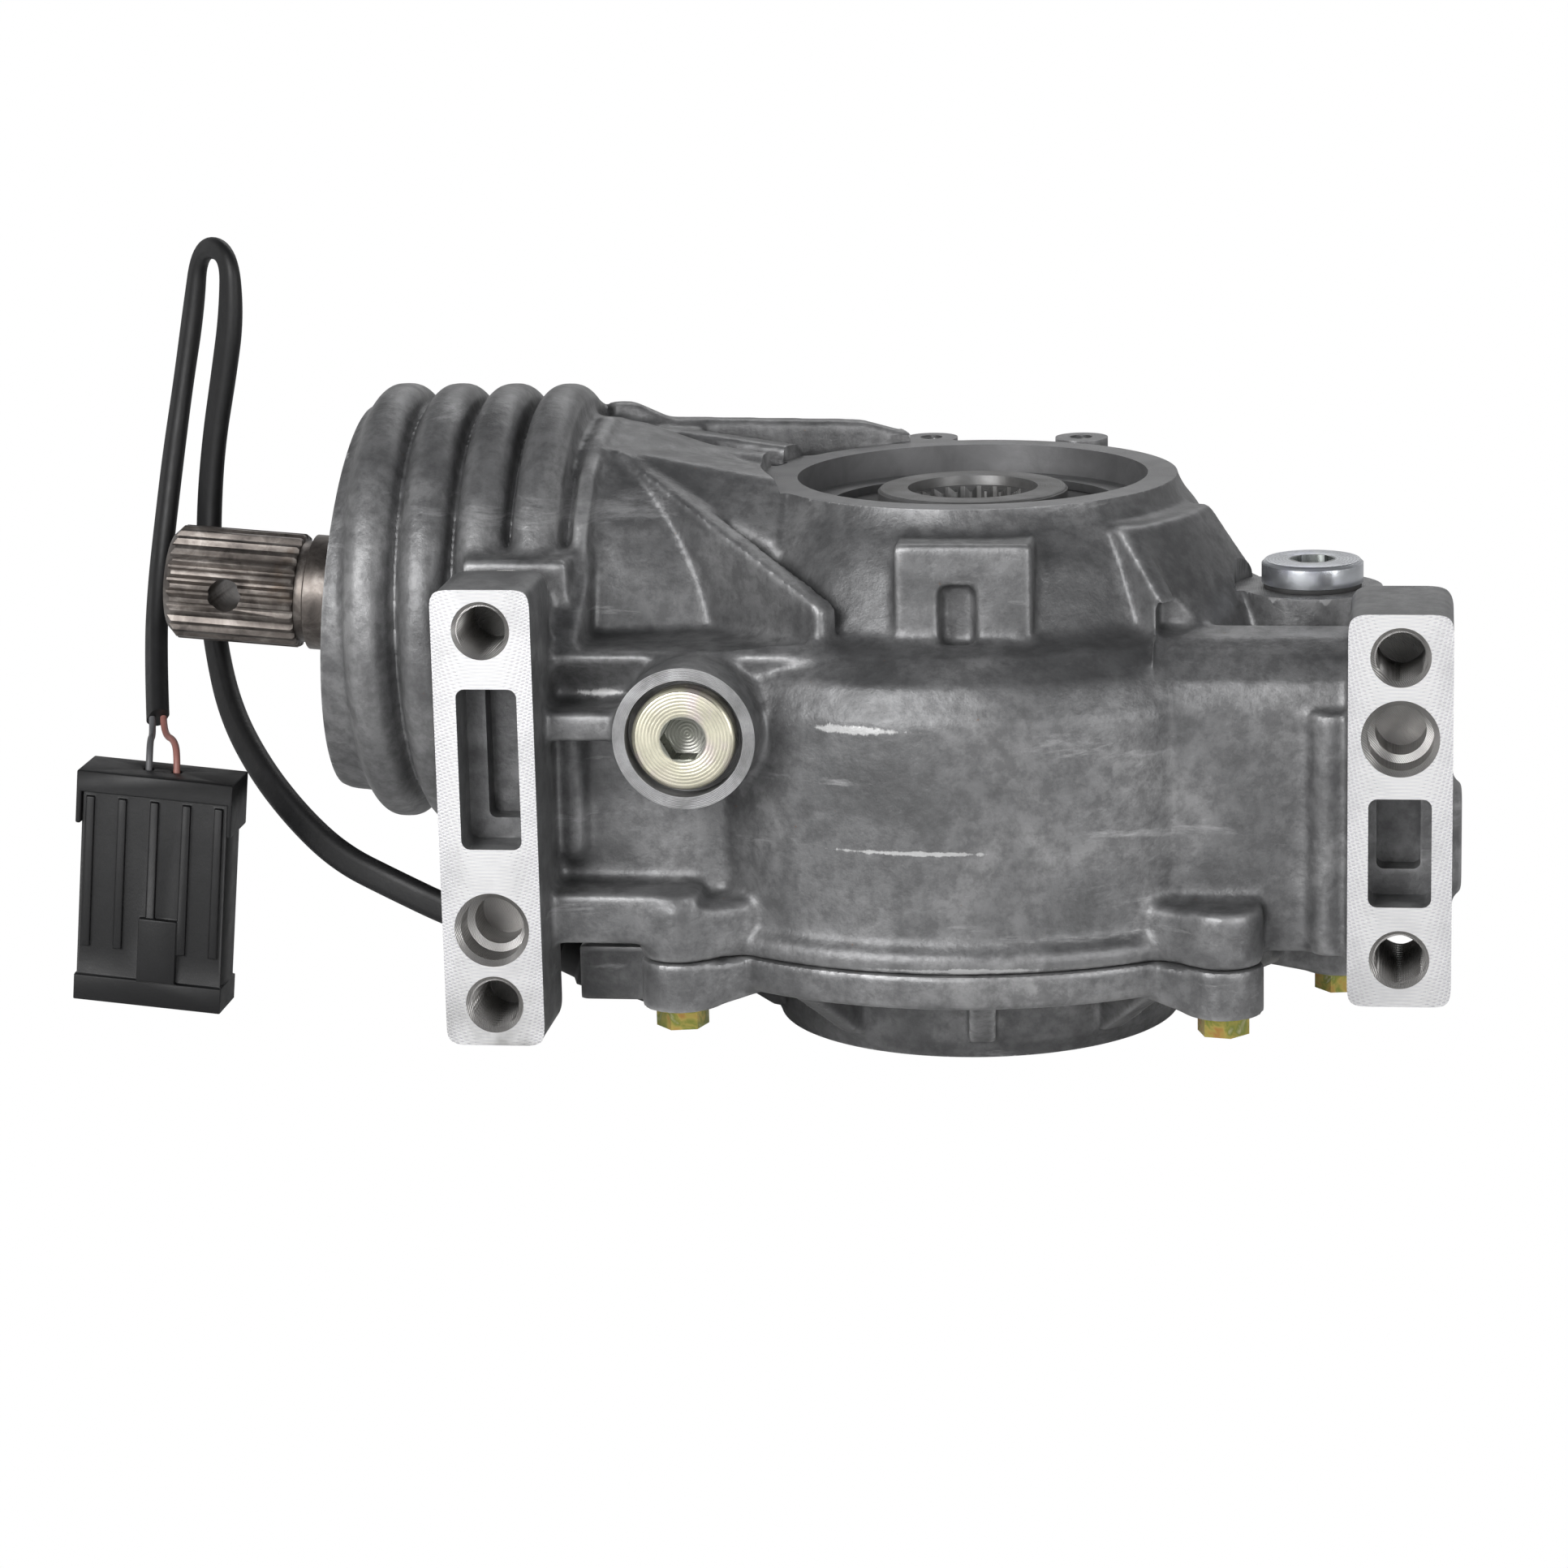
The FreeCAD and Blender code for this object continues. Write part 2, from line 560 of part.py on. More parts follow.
def webs_outside():
    """Gusset between snout and bell, the webs on top, and the ribs of the neck."""
    gusset_sketch = doc.addObject("Sketcher::SketchObject", "gusset_outline")
    outline(gusset_sketch, [("-92", "0"), ("-26", "0"), ("-26", "7"), ("-66", "56"), ("-92", "56")])
    gusset_sketch.Placement = FreeCAD.Placement(FreeCAD.Vector(), FreeCAD.Rotation(FreeCAD.Vector(1, 0, 0), 36))
    seat(gusset_sketch, y="-65", z="neck_foot_height - 3")
    gusset = extruded("gusset", gusset_sketch, "-8", centred=False)
    back_web = plate("back_web", [
        ("0", "95"), ("76", "95"), ("76", "rim_height"), ("68", "rim_height + 3"), ("60", "rim_height + 5.5"),
        ("14", "rim_height + 9"), ("6", "rim_height + 13"), ("0", "rim_height + 13.5"),
    ], "6", x="-86", y="20", heading=22)
    middle_web = plate("middle_web", [
        ("-90", "98"), ("-46", "98"), ("-46", "rim_height - 1"), ("-56", "rim_height + 4"),
        ("-76", "rim_height + 11"), ("-90", "rim_height + 13"),
    ], "5", y="5")
    front_web = plate("front_web", [
        ("-90", "98"), ("-44", "98"), ("-44", "rim_height - 4"), ("-78", "rim_height + 8.5"),
        ("-90", "rim_height + 9"),
    ], "5", y="-17")
    neck_rib = plate("neck_rib", [
        ("40", "92"), ("74", "92"), ("73", "99"), ("54", "rim_height - 5"), ("40", "rim_height - 5"),
    ], "5", heading=-46)
    drain_web = plate("drain_web", [
        ("44", "92"), ("72", "92"), ("72", "drain_face - 1"), ("64", "drain_face + 1"),
        ("58", "drain_face + 12"), ("50", "rim_height - 6"), ("44", "rim_height - 6"),
    ], "6", heading=-14)
    far_rib = plate("far_rib", [
        ("40", "92"), ("72", "92"), ("70", "99"), ("52", "rim_height - 6"), ("40", "rim_height - 6"),
    ], "6", heading=60)
    return [gusset, back_web, middle_web, front_web, neck_rib, drain_web, far_rib]


def inside_of_case():
    bearing_seat_top = "rim_height - recess_depth - seal_bore_depth - lip_thickness"
    hollow = turned("case_hollow", [
        ("0", "joint_height - 1"),
        ("bell_bore", "joint_height - 1"),
        ("bell_bore", "shoulder_height - 2"),
        ("bell_bore - 15", "neck_foot_height - 5"),
        ("bell_bore - 29", f"{bearing_seat_top} - carrier_bearing_width - 1"),
        ("carrier_bearing_outer + seat_gap", f"{bearing_seat_top} - carrier_bearing_width - 1"),
        ("carrier_bearing_outer + seat_gap", bearing_seat_top),
        ("lip_radius", bearing_seat_top),
        ("lip_radius", "rim_height - recess_depth - seal_bore_depth"),
        ("output_seal_outer + seat_gap", "rim_height - recess_depth - seal_bore_depth"),
        ("output_seal_outer + seat_gap", "rim_height - recess_depth"),
        ("recess_radius", "rim_height - recess_depth"),
        ("recess_radius", "rim_height + 15"),
        ("0", "rim_height + 15"),
    ])
    groove_start = "pinion_bearing_start + pinion_bearing_width + 0.1"
    tunnel = on_pinion_axis(turned("pinion_tunnel", [
        ("0", "tunnel_start"),
        ("tunnel_radius", "tunnel_start"),
        ("tunnel_radius", "pinion_bearing_start - 4"),
        ("pinion_bearing_outer - 3.5", "pinion_bearing_start - 4"),
        ("pinion_bearing_outer - 3.5", "pinion_bearing_start"),
        ("pinion_bearing_outer + seat_gap", "pinion_bearing_start"),
        ("pinion_bearing_outer + seat_gap", groove_start),
        ("pinion_bearing_outer + snap_ring_bite + 0.3", groove_start),
        ("pinion_bearing_outer + snap_ring_bite + 0.3", f"{groove_start} + pinion_snap_thickness + 0.1"),
        ("pinion_bearing_outer + seat_gap", f"{groove_start} + pinion_snap_thickness + 0.1"),
        ("pinion_bearing_outer + seat_gap", "snout_length - 1.5"),
        ("pinion_bearing_outer + 1.6", "snout_length + 0.1"),
        ("0", "snout_length + 0.1"),
    ]))
    return [hollow, tunnel]


def pad_hole(name, column, height, bore, depth, mouth):
    """Round hole in a pad, with its chamfered mouth at the pad face."""
    hole = cylinder(name, bore, f"{depth} + 1", x=column, y="-pad_face - 1", z=height, axis="+y")
    chamfer = cone(name + "_mouth", f"{mouth} + 1", bore, f"{mouth} + 1 - {bore}", x=column,
                   y="-pad_face - 1", z=height, axis="+y")
    return [hole, chamfer]


def holes_of_pads():
    tools = []
    for name, column, height, depth in (
        ("left_upper_hole", "-left_column", "left_upper_thread", "thread_depth"),
        ("left_lower_hole", "-left_column", "left_lower_thread", "thread_depth"),
        ("right_upper_hole", "right_column", "right_upper_thread", "thread_depth"),
        ("right_lower_hole", "right_column", "right_lower_thread", "right_pad_depth + 2"),
    ):
        tools += pad_hole(name, column, height, "thread_bore", depth, "thread_chamfer")
    for name, column, height in (
        ("left_dowel_hole", "-left_column", "left_dowel"),
        ("right_dowel_hole", "right_column", "right_dowel"),
    ):
        tools += pad_hole(name, column, height, "dowel_bore", "dowel_bore_depth", "dowel_chamfer")
        tools.append(cylinder(name + "_relief", "dowel_relief", "dowel_bore_depth + 10", x=column,
                              y="-pad_face - 1", z=height, axis="+y"))
    for name, middle, low, high in (
        ("left_pocket", "-left_column + 0.7", "left_pocket_bottom", "left_pocket_top"),
        ("right_pocket", "right_column", "right_pocket_bottom", "right_pocket_top"),
    ):
        tools.append(box(name, "pocket_width", "pocket_depth + 1", f"{high} - {low}",
                         x=f"{middle} - pocket_width / 2", y="-pad_face - 1", z=low))
    return tools


def holes_of_bosses():
    tools = [
        cylinder("fill_hole", "plug_thread + seat_gap", "44", x="-fill_x", y="-fill_face - 1", z="fill_height",
                 axis="+y"),
        cylinder("fill_recess", "fill_counterbore", "fill_counterbore_depth + 5", x="-fill_x",
                 y="-fill_face - 5", z="fill_height", axis="+y"),
        cylinder("drain_hole", "plug_thread + seat_gap", "30", x="drain_x", y="-drain_y",
                 z="drain_face - 29"),
        box("neck_slot", "7.8", "7", "14", x="-2", y="-60.5", z="neck_foot_height - 2"),
        cylinder("rim_hole_left", "2.5", "14", x="-14.5", y="50.5", z="rim_height - 13"),
        cylinder("rim_hole_right", "2.5", "14", x="21", y="50.5", z="rim_height - 13"),
    ]
    for index, angle in enumerate(BOLT_ANGLES, start=1):
        x, y = polar(angle, "bolt_circle")
        depth = "bolt_length - joint_height + bolt_ear_bottom + 2"
        tools.append(cylinder(f"bolt_hole_{index}", "bolt_radius + seat_gap", depth, x, y, "joint_height - 0.5"))
    for index, angle in enumerate(DOWEL_ANGLES, start=1):
        x, y = polar(angle, "bolt_circle")
        tools.append(cylinder(f"case_dowel_hole_{index}", "dowel_radius + seat_gap",
                              "dowel_length / 2 + 0.6", x, y, "joint_height - 0.5"))
    return tools


def main_case():
    outside = fused("case_outside", [bell_outside(), *snout_outside(), *pads_outside(), *bosses_outside(),
                                     *webs_outside()])
    return cut("case", outside, [*inside_of_case(), *holes_of_pads(), *holes_of_bosses()])


# Cover casting

def output_cover():
    seal_floor = "cover_recess_depth + seal_bore_depth"
    flange_bottom = "joint_height - cover_flange_thickness"
    dish = turned("cover_dish", [
        ("recess_radius", "0"),
        ("rim_radius", "0"),
        ("rim_radius + rim_flare", "4"),
        ("rim_radius + rim_flare + 1", "18"),
        ("bell_bore - 4", "19.5"),
        ("bell_bore + 1", flange_bottom),
        ("flange_radius", flange_bottom),
        ("flange_radius", "joint_height"),
        ("coil_housing_outer + seat_gap", "joint_height"),
        ("coil_housing_outer + seat_gap", "coil_seat"),
        ("carrier_bearing_outer + seat_gap", "coil_seat"),
        ("carrier_bearing_outer + seat_gap", f"{seal_floor} + lip_thickness"),
        ("lip_radius", f"{seal_floor} + lip_thickness"),
        ("lip_radius", seal_floor),
        ("output_seal_outer + seat_gap", seal_floor),
        ("output_seal_outer + seat_gap", "cover_recess_depth"),
        ("recess_radius", "cover_recess_depth"),
    ])
    parts = [dish]
    for index in range(10):
        parts.append(plate(f"cover_rib_{index + 1}", [
            ("rim_radius + rim_flare - 2", "4"), ("rim_radius + rim_flare + 2", "4.5"),
            ("bell_bore", "20"), ("bell_bore", "23"), ("rim_radius", "20"),
        ], "6", heading=-84 + 36 * index))
    ear_height = "joint_height - bolt_ear_bottom"
    for index, angle in enumerate(BOLT_ANGLES, start=1):
        x, y = polar(angle, "bolt_circle")
        inner_x, inner_y = polar(angle, "(bolt_circle - 12)")
        parts.append(cylinder(f"cover_ear_{index}", "bolt_boss", ear_height, x, y, "bolt_ear_bottom"))
        parts.append(cylinder(f"cover_ear_root_{index}", "bolt_boss + 2", "cover_flange_thickness", inner_x,
                              inner_y, flange_bottom))
    parts.append(box("lead_lobe", "34", "20", "12.7", x="-84", y="-54", z="14.3"))
    outside = fused("cover_outside", parts)
    lead_hole = turned("lead_hole", [
        ("0", "0"),
        ("grommet_radius - 0.6 + seat_gap", "0"),
        ("grommet_radius - 0.6 + seat_gap", "14"),
        ("grommet_radius + 1.3", "14"),
        ("grommet_radius + 1.3", "26"),
        ("0", "26"),
    ])
    tools = [
        turned("cover_groove", [
            ("bell_bore + 1.4", "joint_height - 1.4"), ("bell_bore + 3.4", "joint_height - 1.4"),
            ("bell_bore + 3.4", "joint_height + 1"), ("bell_bore + 1.4", "joint_height + 1"),
        ]),
        on_lead_axis(lead_hole),
        cylinder("lead_way", "1.8", "19", x="-52.4", y="-44", z="17.6", axis="-x"),
        cylinder("lead_drop", "1.8", "12", x="-54", y="-44", z="17.6"),
    ]
    for index, angle in enumerate(BOLT_ANGLES, start=1):
        x, y = polar(angle, "bolt_circle")
        tools.append(cylinder(f"ear_hole_{index}", "bolt_radius + 0.4", ear_height + " + 2", x, y,
                              "bolt_ear_bottom - 1"))
    for index, angle in enumerate(DOWEL_ANGLES, start=1):
        x, y = polar(angle, "bolt_circle")
        tools.append(cylinder(f"cover_dowel_hole_{index}", "dowel_radius + seat_gap",
                              "dowel_length / 2 + 0.6", x, y, "joint_height - dowel_length / 2 - 0.1"))
    return cut("cover", outside, tools)


def cover_seal_ring():
    return turned("seal_ring", [
        ("bell_bore + 1.5", "joint_height - 1.4"),
        ("bell_bore + 3.3", "joint_height - 1.4"),
        ("bell_bore + 3.3", "joint_height"),
        ("bell_bore + 1.5", "joint_height"),
    ])


def joint_bolts():
    """Hex bolts from below, through the cover's ears into the case."""
    top = size("bolt_ear_bottom")
    head_height = size("bolt_head_height")
    flats = size("bolt_head_flats")
    corners = [FreeCAD.Vector(flats / math.cos(math.pi / 6), 0, 0)]
    for _ in range(5):
        corners.append(FreeCAD.Rotation(UP, 60).multVec(corners[-1]))
    head = closed_face(corners).extrude(FreeCAD.Vector(0, 0, head_height))
    washer = Part.makeCylinder(flats * 1.2, 0.7, FreeCAD.Vector(0, 0, head_height - 0.7))
    shank = Part.makeCylinder(size("bolt_radius"), size("bolt_length"), FreeCAD.Vector(0, 0, head_height - 0.1))
    bolt = head.fuse([washer, shank])
    bolts = []
    for angle in BOLT_ANGLES:
        copy = bolt.copy()
        place = FreeCAD.Rotation(UP, angle).multVec(FreeCAD.Vector(size("bolt_circle"), 0, 0))
        copy.Placement = FreeCAD.Placement(place + UP * (top - head_height), FreeCAD.Rotation(UP, 9 * angle))
        bolts.append(copy)
    return shaped("joint_bolts", Part.makeCompound(bolts))


def joint_dowels():
    sleeves = []
    for angle in DOWEL_ANGLES:
        place = FreeCAD.Rotation(UP, angle).multVec(FreeCAD.Vector(size("bolt_circle"), 0, 0))
        start = place + UP * (size("joint_height") - size("dowel_length") / 2)
        outside = Part.makeCylinder(size("dowel_radius"), size("dowel_length"), start)
        sleeves.append(outside.cut(Part.makeCylinder(size("dowel_inner"), size("dowel_length"), start)))
    return shaped("joint_dowels", Part.makeCompound(sleeves))


# Plugs

def plug(name, axis, x, y, z):
    """Screw plug, its own Z from the boss face outwards."""
    stem = turned(name + "_stem", [
        ("0", "-plug_thread_length"),
        ("plug_thread - 1", "-plug_thread_length"),
        ("plug_thread", "1 - plug_thread_length"),
        ("plug_thread", "plug_seal_thickness"),
        ("plug_head", "plug_seal_thickness"),
        ("plug_head", "plug_seal_thickness + plug_head_height - 0.8"),
        ("plug_head - 0.8", "plug_seal_thickness + plug_head_height"),
        ("0", "plug_seal_thickness + plug_head_height"),
    ])
    socket = prism(name + "_socket", "6", "plug_socket", "plug_socket_depth + 1",
                   z="plug_seal_thickness + plug_head_height - plug_socket_depth")
    item = cut(name, stem, [socket])
    item.Placement = FreeCAD.Placement(FreeCAD.Vector(), TURNS[axis])
    return seat(item, x, y, z)


def plug_seal(name, axis, x, y, z):
    item = turned(name, [
        ("plug_thread + 0.2", "0"),
        ("plug_head - 0.4", "0"),
        ("plug_head - 0.4", "plug_seal_thickness"),
        ("plug_thread + 0.2", "plug_seal_thickness"),
    ])
    item.Placement = FreeCAD.Placement(FreeCAD.Vector(), TURNS[axis])
    return seat(item, x, y, z)


# Bevel gears. Both have their apex at their own origin and their axis along their own Z.

def pitch_angles():
    """Pitch cone angles of ring and pinion, whose axes stand at 90 degrees plus the tilt."""
    shaft_angle = math.radians(90 + size("pinion_tilt"))
    ratio = size("ring_teeth") / size("pinion_teeth")
    pinion = math.atan2(math.sin(shaft_angle), ratio + math.cos(shaft_angle))
    return shaft_angle - pinion, pinion


def gear_module():
    return 2 * size("ring_pitch_radius") / size("ring_teeth")


def cone_distance():
    return size("ring_pitch_radius") / math.sin(pitch_angles()[0])


def on_back_cone(cone_angle, distance, along, height):
    """Point beside the pitch point: along the tooth row and height above the pitch cone."""
    radius = distance * math.sin(cone_angle) + height * math.cos(cone_angle)
    level = distance * math.cos(cone_angle) - height * math.sin(cone_angle)
    return FreeCAD.Vector(radius, along, level)


def tooth_gap(cone_angle, flank):
    """Tool for one tooth space, tapering to the apex; flank holds (along, height) pairs."""
    mirrored = [(-along, height) for along, height in reversed(flank)]
    sections = []
    outer = cone_distance()
    for distance in (outer * 1.06, (outer - size("face_width")) * 0.9):
        scale = distance / outer
        corners = [on_back_cone(cone_angle, distance, a * scale, h * scale) for a, h in [*flank, *mirrored]]
        sections.append(Part.makePolygon([*corners, corners[0]]))
    return Part.makeLoft(sections, True, True)


def rack_flank(addendum, dedendum, thickness):
    """Straight flank of a gear with a nearly flat pitch cone, from root to above the tip."""
    slope = math.tan(math.radians(size("pressure_angle")))
    half = (math.pi * gear_module() - thickness) / 2
    top = addendum + gear_module() * 0.5
    return [(half - dedendum * slope, -dedendum), (half + top * slope, top)]


def involute_flank(cone_angle, addendum, dedendum, thickness):
    """Involute flank on the back cone, from root to above the tip."""
    pitch = cone_distance() * math.tan(cone_angle)
    pressure = math.radians(size("pressure_angle"))
    base = pitch * math.cos(pressure)
    pitch_half = thickness / (2 * pitch)
    step = math.pi * gear_module() / pitch / 2
    involute = math.tan(pressure) - pressure
    flank = []
    root = pitch - dedendum
    start = max(base, root)
    top = pitch + addendum + gear_module() * 0.3
    steps = 5
    radii = [start + (top - start) * index / steps for index in range(steps + 1)]
    if root < base:
        radii = [root, *radii]
    for radius in radii:
        angle = math.acos(min(1.0, base / radius))
        turn = step - (pitch_half + involute - (math.tan(angle) - angle))
        flank.append((radius * math.sin(turn), radius * math.cos(turn) - pitch))
    return flank


def tooth_sizes(addendum, other_addendum):
    """Addendum, dedendum and thickness at the pitch point, in millimetres."""
    module = gear_module()
    shift = (addendum - other_addendum) / 2
    thickness = module * (math.pi / 2 + 2 * shift * math.tan(math.radians(size("pressure_angle"))))
    thickness -= module * size("backlash")
    return addendum * module, (other_addendum + size("tip_clearance")) * module, thickness


def turned_shape(points):
    """Solid of revolution about Z from (radius, height) points."""
    corners = [FreeCAD.Vector(radius, 0, height) for radius, height in points]
    return closed_face(corners).revolve(FreeCAD.Vector(), UP, 360)


def ring_gear():
    cone_angle = pitch_angles()[0]
    addendum, dedendum, thickness = tooth_sizes(size("ring_addendum"), size("pinion_addendum"))
    outer = cone_distance()
    inner = outer - size("face_width")
    tip_outer = on_back_cone(cone_angle, outer, 0, addendum)
    tip_inner = on_back_cone(cone_angle, inner, 0, addendum * inner / outer)
    root_outer = on_back_cone(cone_angle, outer, 0, -dedendum)
    back = size("apex_height") - size("ring_back")
    bore = size("drum_radius") + size("seat_gap")
    shelf = on_back_cone(cone_angle, inner, 0, -dedendum * inner / outer).z + 2.5
    blank = turned_shape([
        (bore, back), (root_outer.x - 1.5, back), (root_outer.x, back - 1.5), (root_outer.x, root_outer.z),
        (tip_outer.x, tip_outer.z), (tip_inner.x, tip_inner.z), (tip_inner.x - 1, shelf), (bore, shelf),
    ])
    gap = tooth_gap(cone_angle, rack_flank(addendum, dedendum, thickness))
    count = round(size("ring_teeth"))
    gear = blank.cut(Part.makeCompound(ring_of(gap, count, PINION_SIDE)))
    depth = size("gear_bolt_hole")
    hole = Part.makeCylinder(size("gear_bolt_radius") + size("seat_gap"), depth,
                             FreeCAD.Vector(size("gear_bolt_circle"), 0, back - depth))
    gear = gear.cut(Part.makeCompound(ring_of(hole, round(size("gear_bolt_count")))))
    flip = FreeCAD.Rotation(FreeCAD.Vector(1, 0, 0), 180)
    return shaped("bevel_ring", gear, FreeCAD.Placement(UP * size("apex_height"), flip))


def ring_gear_bolts():
    """Bolts through the drum's flange into the back of the ring gear."""
    radius = size("gear_bolt_radius")
    bottom = size("ring_back") - size("gear_flange_thickness")
    place = FreeCAD.Vector(size("gear_bolt_circle"), 0, bottom)
    head = Part.makeCylinder(radius * 1.75, 4, place - UP * 4)
    shank = Part.makeCylinder(radius, size("gear_flange_thickness + gear_bolt_hole") - 0.5,
                              place - UP)
    bolt = head.fuse(shank)
    return shaped("gear_bolts", Part.makeCompound(ring_of(bolt, round(size("gear_bolt_count")))))


def star_face(count, root, tip, gap_share=0.5, level=0.0):
    """Face with straight-sided teeth between two radii, for splines."""
    points = []
    for index in range(count):
        middle = 2 * math.pi * index / count
        pitch = 2 * math.pi / count
        for radius, offset in ((root, -0.5 + gap_share / 6), (tip, -gap_share / 4), (tip, gap_share / 4),
                               (root, 0.5 - gap_share / 6)):
            angle = middle + offset * pitch
            points.append(FreeCAD.Vector(radius * math.cos(angle), radius * math.sin(angle), level))
    return closed_face(points)


def pinion_shaft():
    """Input shaft with its bevel pinion, splined at the free end."""
    cone_angle = pitch_angles()[1]
    addendum, dedendum, thickness = tooth_sizes(size("pinion_addendum"), size("ring_addendum"))
    outer = cone_distance()
    inner = outer - size("face_width")
    tip_outer = on_back_cone(cone_angle, outer, 0, addendum)
    tip_inner = on_back_cone(cone_angle, inner, 0, addendum * inner / outer)
    root_inner = on_back_cone(cone_angle, inner, 0, -dedendum * inner / outer)
    root_outer = on_back_cone(cone_angle, outer, 0, -dedendum)
    seat_radius = size("pinion_seat")
    shoulder = size("pinion_bearing_start")
    bearing_end = shoulder + size("pinion_bearing_width")
    head = turned_shape([
        (0, root_inner.z + 1), (root_inner.x - 2, root_inner.z + 1), (tip_inner.x, tip_inner.z),
        (tip_outer.x, tip_outer.z), (root_outer.x - 1, root_outer.z + 1), (18.5, root_outer.z + 4), (0, root_outer.z + 4),
    ])
    gap = tooth_gap(cone_angle, involute_flank(cone_angle, addendum, dedendum, thickness))
    count = round(size("pinion_teeth"))
    head = head.cut(Part.makeCompound(ring_of(gap, count, PINION_SIDE + 180.0 / count)))
    groove_start = bearing_end + 0.05
    groove_end = groove_start + size("pinion_snap_thickness") + 0.05
    tip_chamfer = 2.0
    body = turned_shape([
        (0, root_outer.z + 2), (13, root_outer.z + 2), (18.5, root_outer.z + 6), (18.5, shoulder), (seat_radius, shoulder),
        (seat_radius, groove_start), (seat_radius - 1.2, groove_start), (seat_radius - 1.2, groove_end),
        (seat_radius, groove_end), (seat_radius, size("snout_length") - 1),
        (size("collar_radius"), size("snout_length") + 0.5), (size("collar_radius"), size("collar_end")),
        (size("shaft_neck"), size("collar_end") + 0.6), (size("shaft_neck"), size("shaft_tip") - 1),
        (0, size("shaft_tip") - 1),
    ])
    start = size("spline_start")
    length = size("shaft_tip") - start
    teeth = star_face(round(size("shaft_spline_count")), size("spline_root_radius"), size("spline_tip_radius"),
                      0.6, start).extrude(UP * length)
    sleeve = turned_shape([
        (0, start - 1), (size("spline_root_radius"), start - 1), (size("spline_tip_radius"), start + 0.6),
        (size("spline_tip_radius"), size("shaft_tip") - tip_chamfer),
        (size("spline_tip_radius") - tip_chamfer, size("shaft_tip")), (0, size("shaft_tip")),
    ])
    shaft = head.fuse([body, teeth.common(sleeve)])
    half = size("spline_tip_radius") + 5
    cross = Part.makeCylinder(size("cross_hole"), 2 * half, FreeCAD.Vector(0, -half, size("cross_hole_place")),
                              FreeCAD.Vector(0, 1, 0))
    centre_hole = Part.makeCone(1.0, 2.4, 3, FreeCAD.Vector(0, 0, size("shaft_tip") - 3), UP)
    shaft = shaft.cut([cross, centre_hole]).removeSplitter()
    return shaped("input_shaft", shaft, pinion_placement())


# Bearings

def race_grooves(radius, ball, rows):
    """Tools for the ball tracks: one torus for each row."""
    tracks = []
    for height in rows:
        tracks.append(Part.makeTorus(radius, ball + size("free_gap") / 2, FreeCAD.Vector(0, 0, height), UP))
    return tracks


def bearing(name, bore, outer, width, ball, ball_count, rows, placement):
    """Outer race, inner race and balls of a bearing whose own Z starts at its face."""
    middle = (bore + outer) / 2
    race_gap = ball * 0.55
    tracks = race_grooves(middle, ball, rows)
    outer_race = turned_shape([(middle + race_gap, 0), (outer, 0), (outer, width), (middle + race_gap, width)])
    inner_race = turned_shape([(bore, 0), (middle - race_gap, 0), (middle - race_gap, width), (bore, width)])
    balls = []
    for row_number, height in enumerate(rows):
        sphere = Part.makeSphere(ball, FreeCAD.Vector(middle, 0, height))
        balls += ring_of(sphere, ball_count, 180.0 / ball_count * row_number)
    return (
        shaped(name + "_outer", outer_race.cut(tracks), placement),
        shaped(name + "_inner", inner_race.cut(tracks), placement),
        shaped(name + "_ball_set", Part.makeCompound(balls), placement),
    )


def carrier_bearing(name, foot):
    """Bearing on a neck of the clutch drum, standing on foot."""
    width = size("carrier_bearing_width")
    return bearing(name, size("carrier_neck") + size("seat_gap"), size("carrier_bearing_outer"), width,
                   size("carrier_ball"), round(size("carrier_ball_count")), (width / 2,),
                   FreeCAD.Placement(UP * foot, FreeCAD.Rotation()))


def pinion_bearing():
    width = size("pinion_bearing_width")
    place = pinion_placement().multiply(FreeCAD.Placement(UP * size("pinion_bearing_start"), FreeCAD.Rotation()))
    return bearing("pinion_race", size("pinion_seat") + size("seat_gap"), size("pinion_bearing_outer"), width,
                   size("pinion_ball"), round(size("pinion_ball_count")), (width * 0.27, width * 0.73), place)


def pinion_rings():
    start = "pinion_bearing_start + pinion_bearing_width"
    outer_ring = on_pinion_axis(turned("case_snap_ring", [
        ("pinion_bearing_outer - 3", f"{start} + 0.15"),
        ("pinion_bearing_outer + snap_ring_bite", f"{start} + 0.15"),
        ("pinion_bearing_outer + snap_ring_bite", f"{start} + 0.15 + pinion_snap_thickness"),
        ("pinion_bearing_outer - 3", f"{start} + 0.15 + pinion_snap_thickness"),
    ]))
    inner_ring = on_pinion_axis(turned("shaft_snap_ring", [
        ("pinion_seat - 1.15", f"{start} + 0.08"),
        ("pinion_seat + 2.2", f"{start} + 0.08"),
        ("pinion_seat + 2.2", f"{start} + 0.05 + pinion_snap_thickness"),
        ("pinion_seat - 1.15", f"{start} + 0.05 + pinion_snap_thickness"),
    ]))
    seal = on_pinion_axis(turned("shaft_seal", [
        ("pinion_seat + running_gap", "pinion_seal_start + 2"),
        ("pinion_seat + 3", "pinion_seal_start"),
        ("pinion_bearing_outer", "pinion_seal_start"),
        ("pinion_bearing_outer", "pinion_seal_start + pinion_seal_thickness"),
        ("pinion_seat + 5", "pinion_seal_start + pinion_seal_thickness"),
        ("pinion_seat + 3.5", "pinion_seal_start + pinion_seal_thickness - 2.5"),
        ("pinion_seat + running_gap", "pinion_seal_start + 3.5"),
    ]))
    return outer_ring, inner_ring, seal


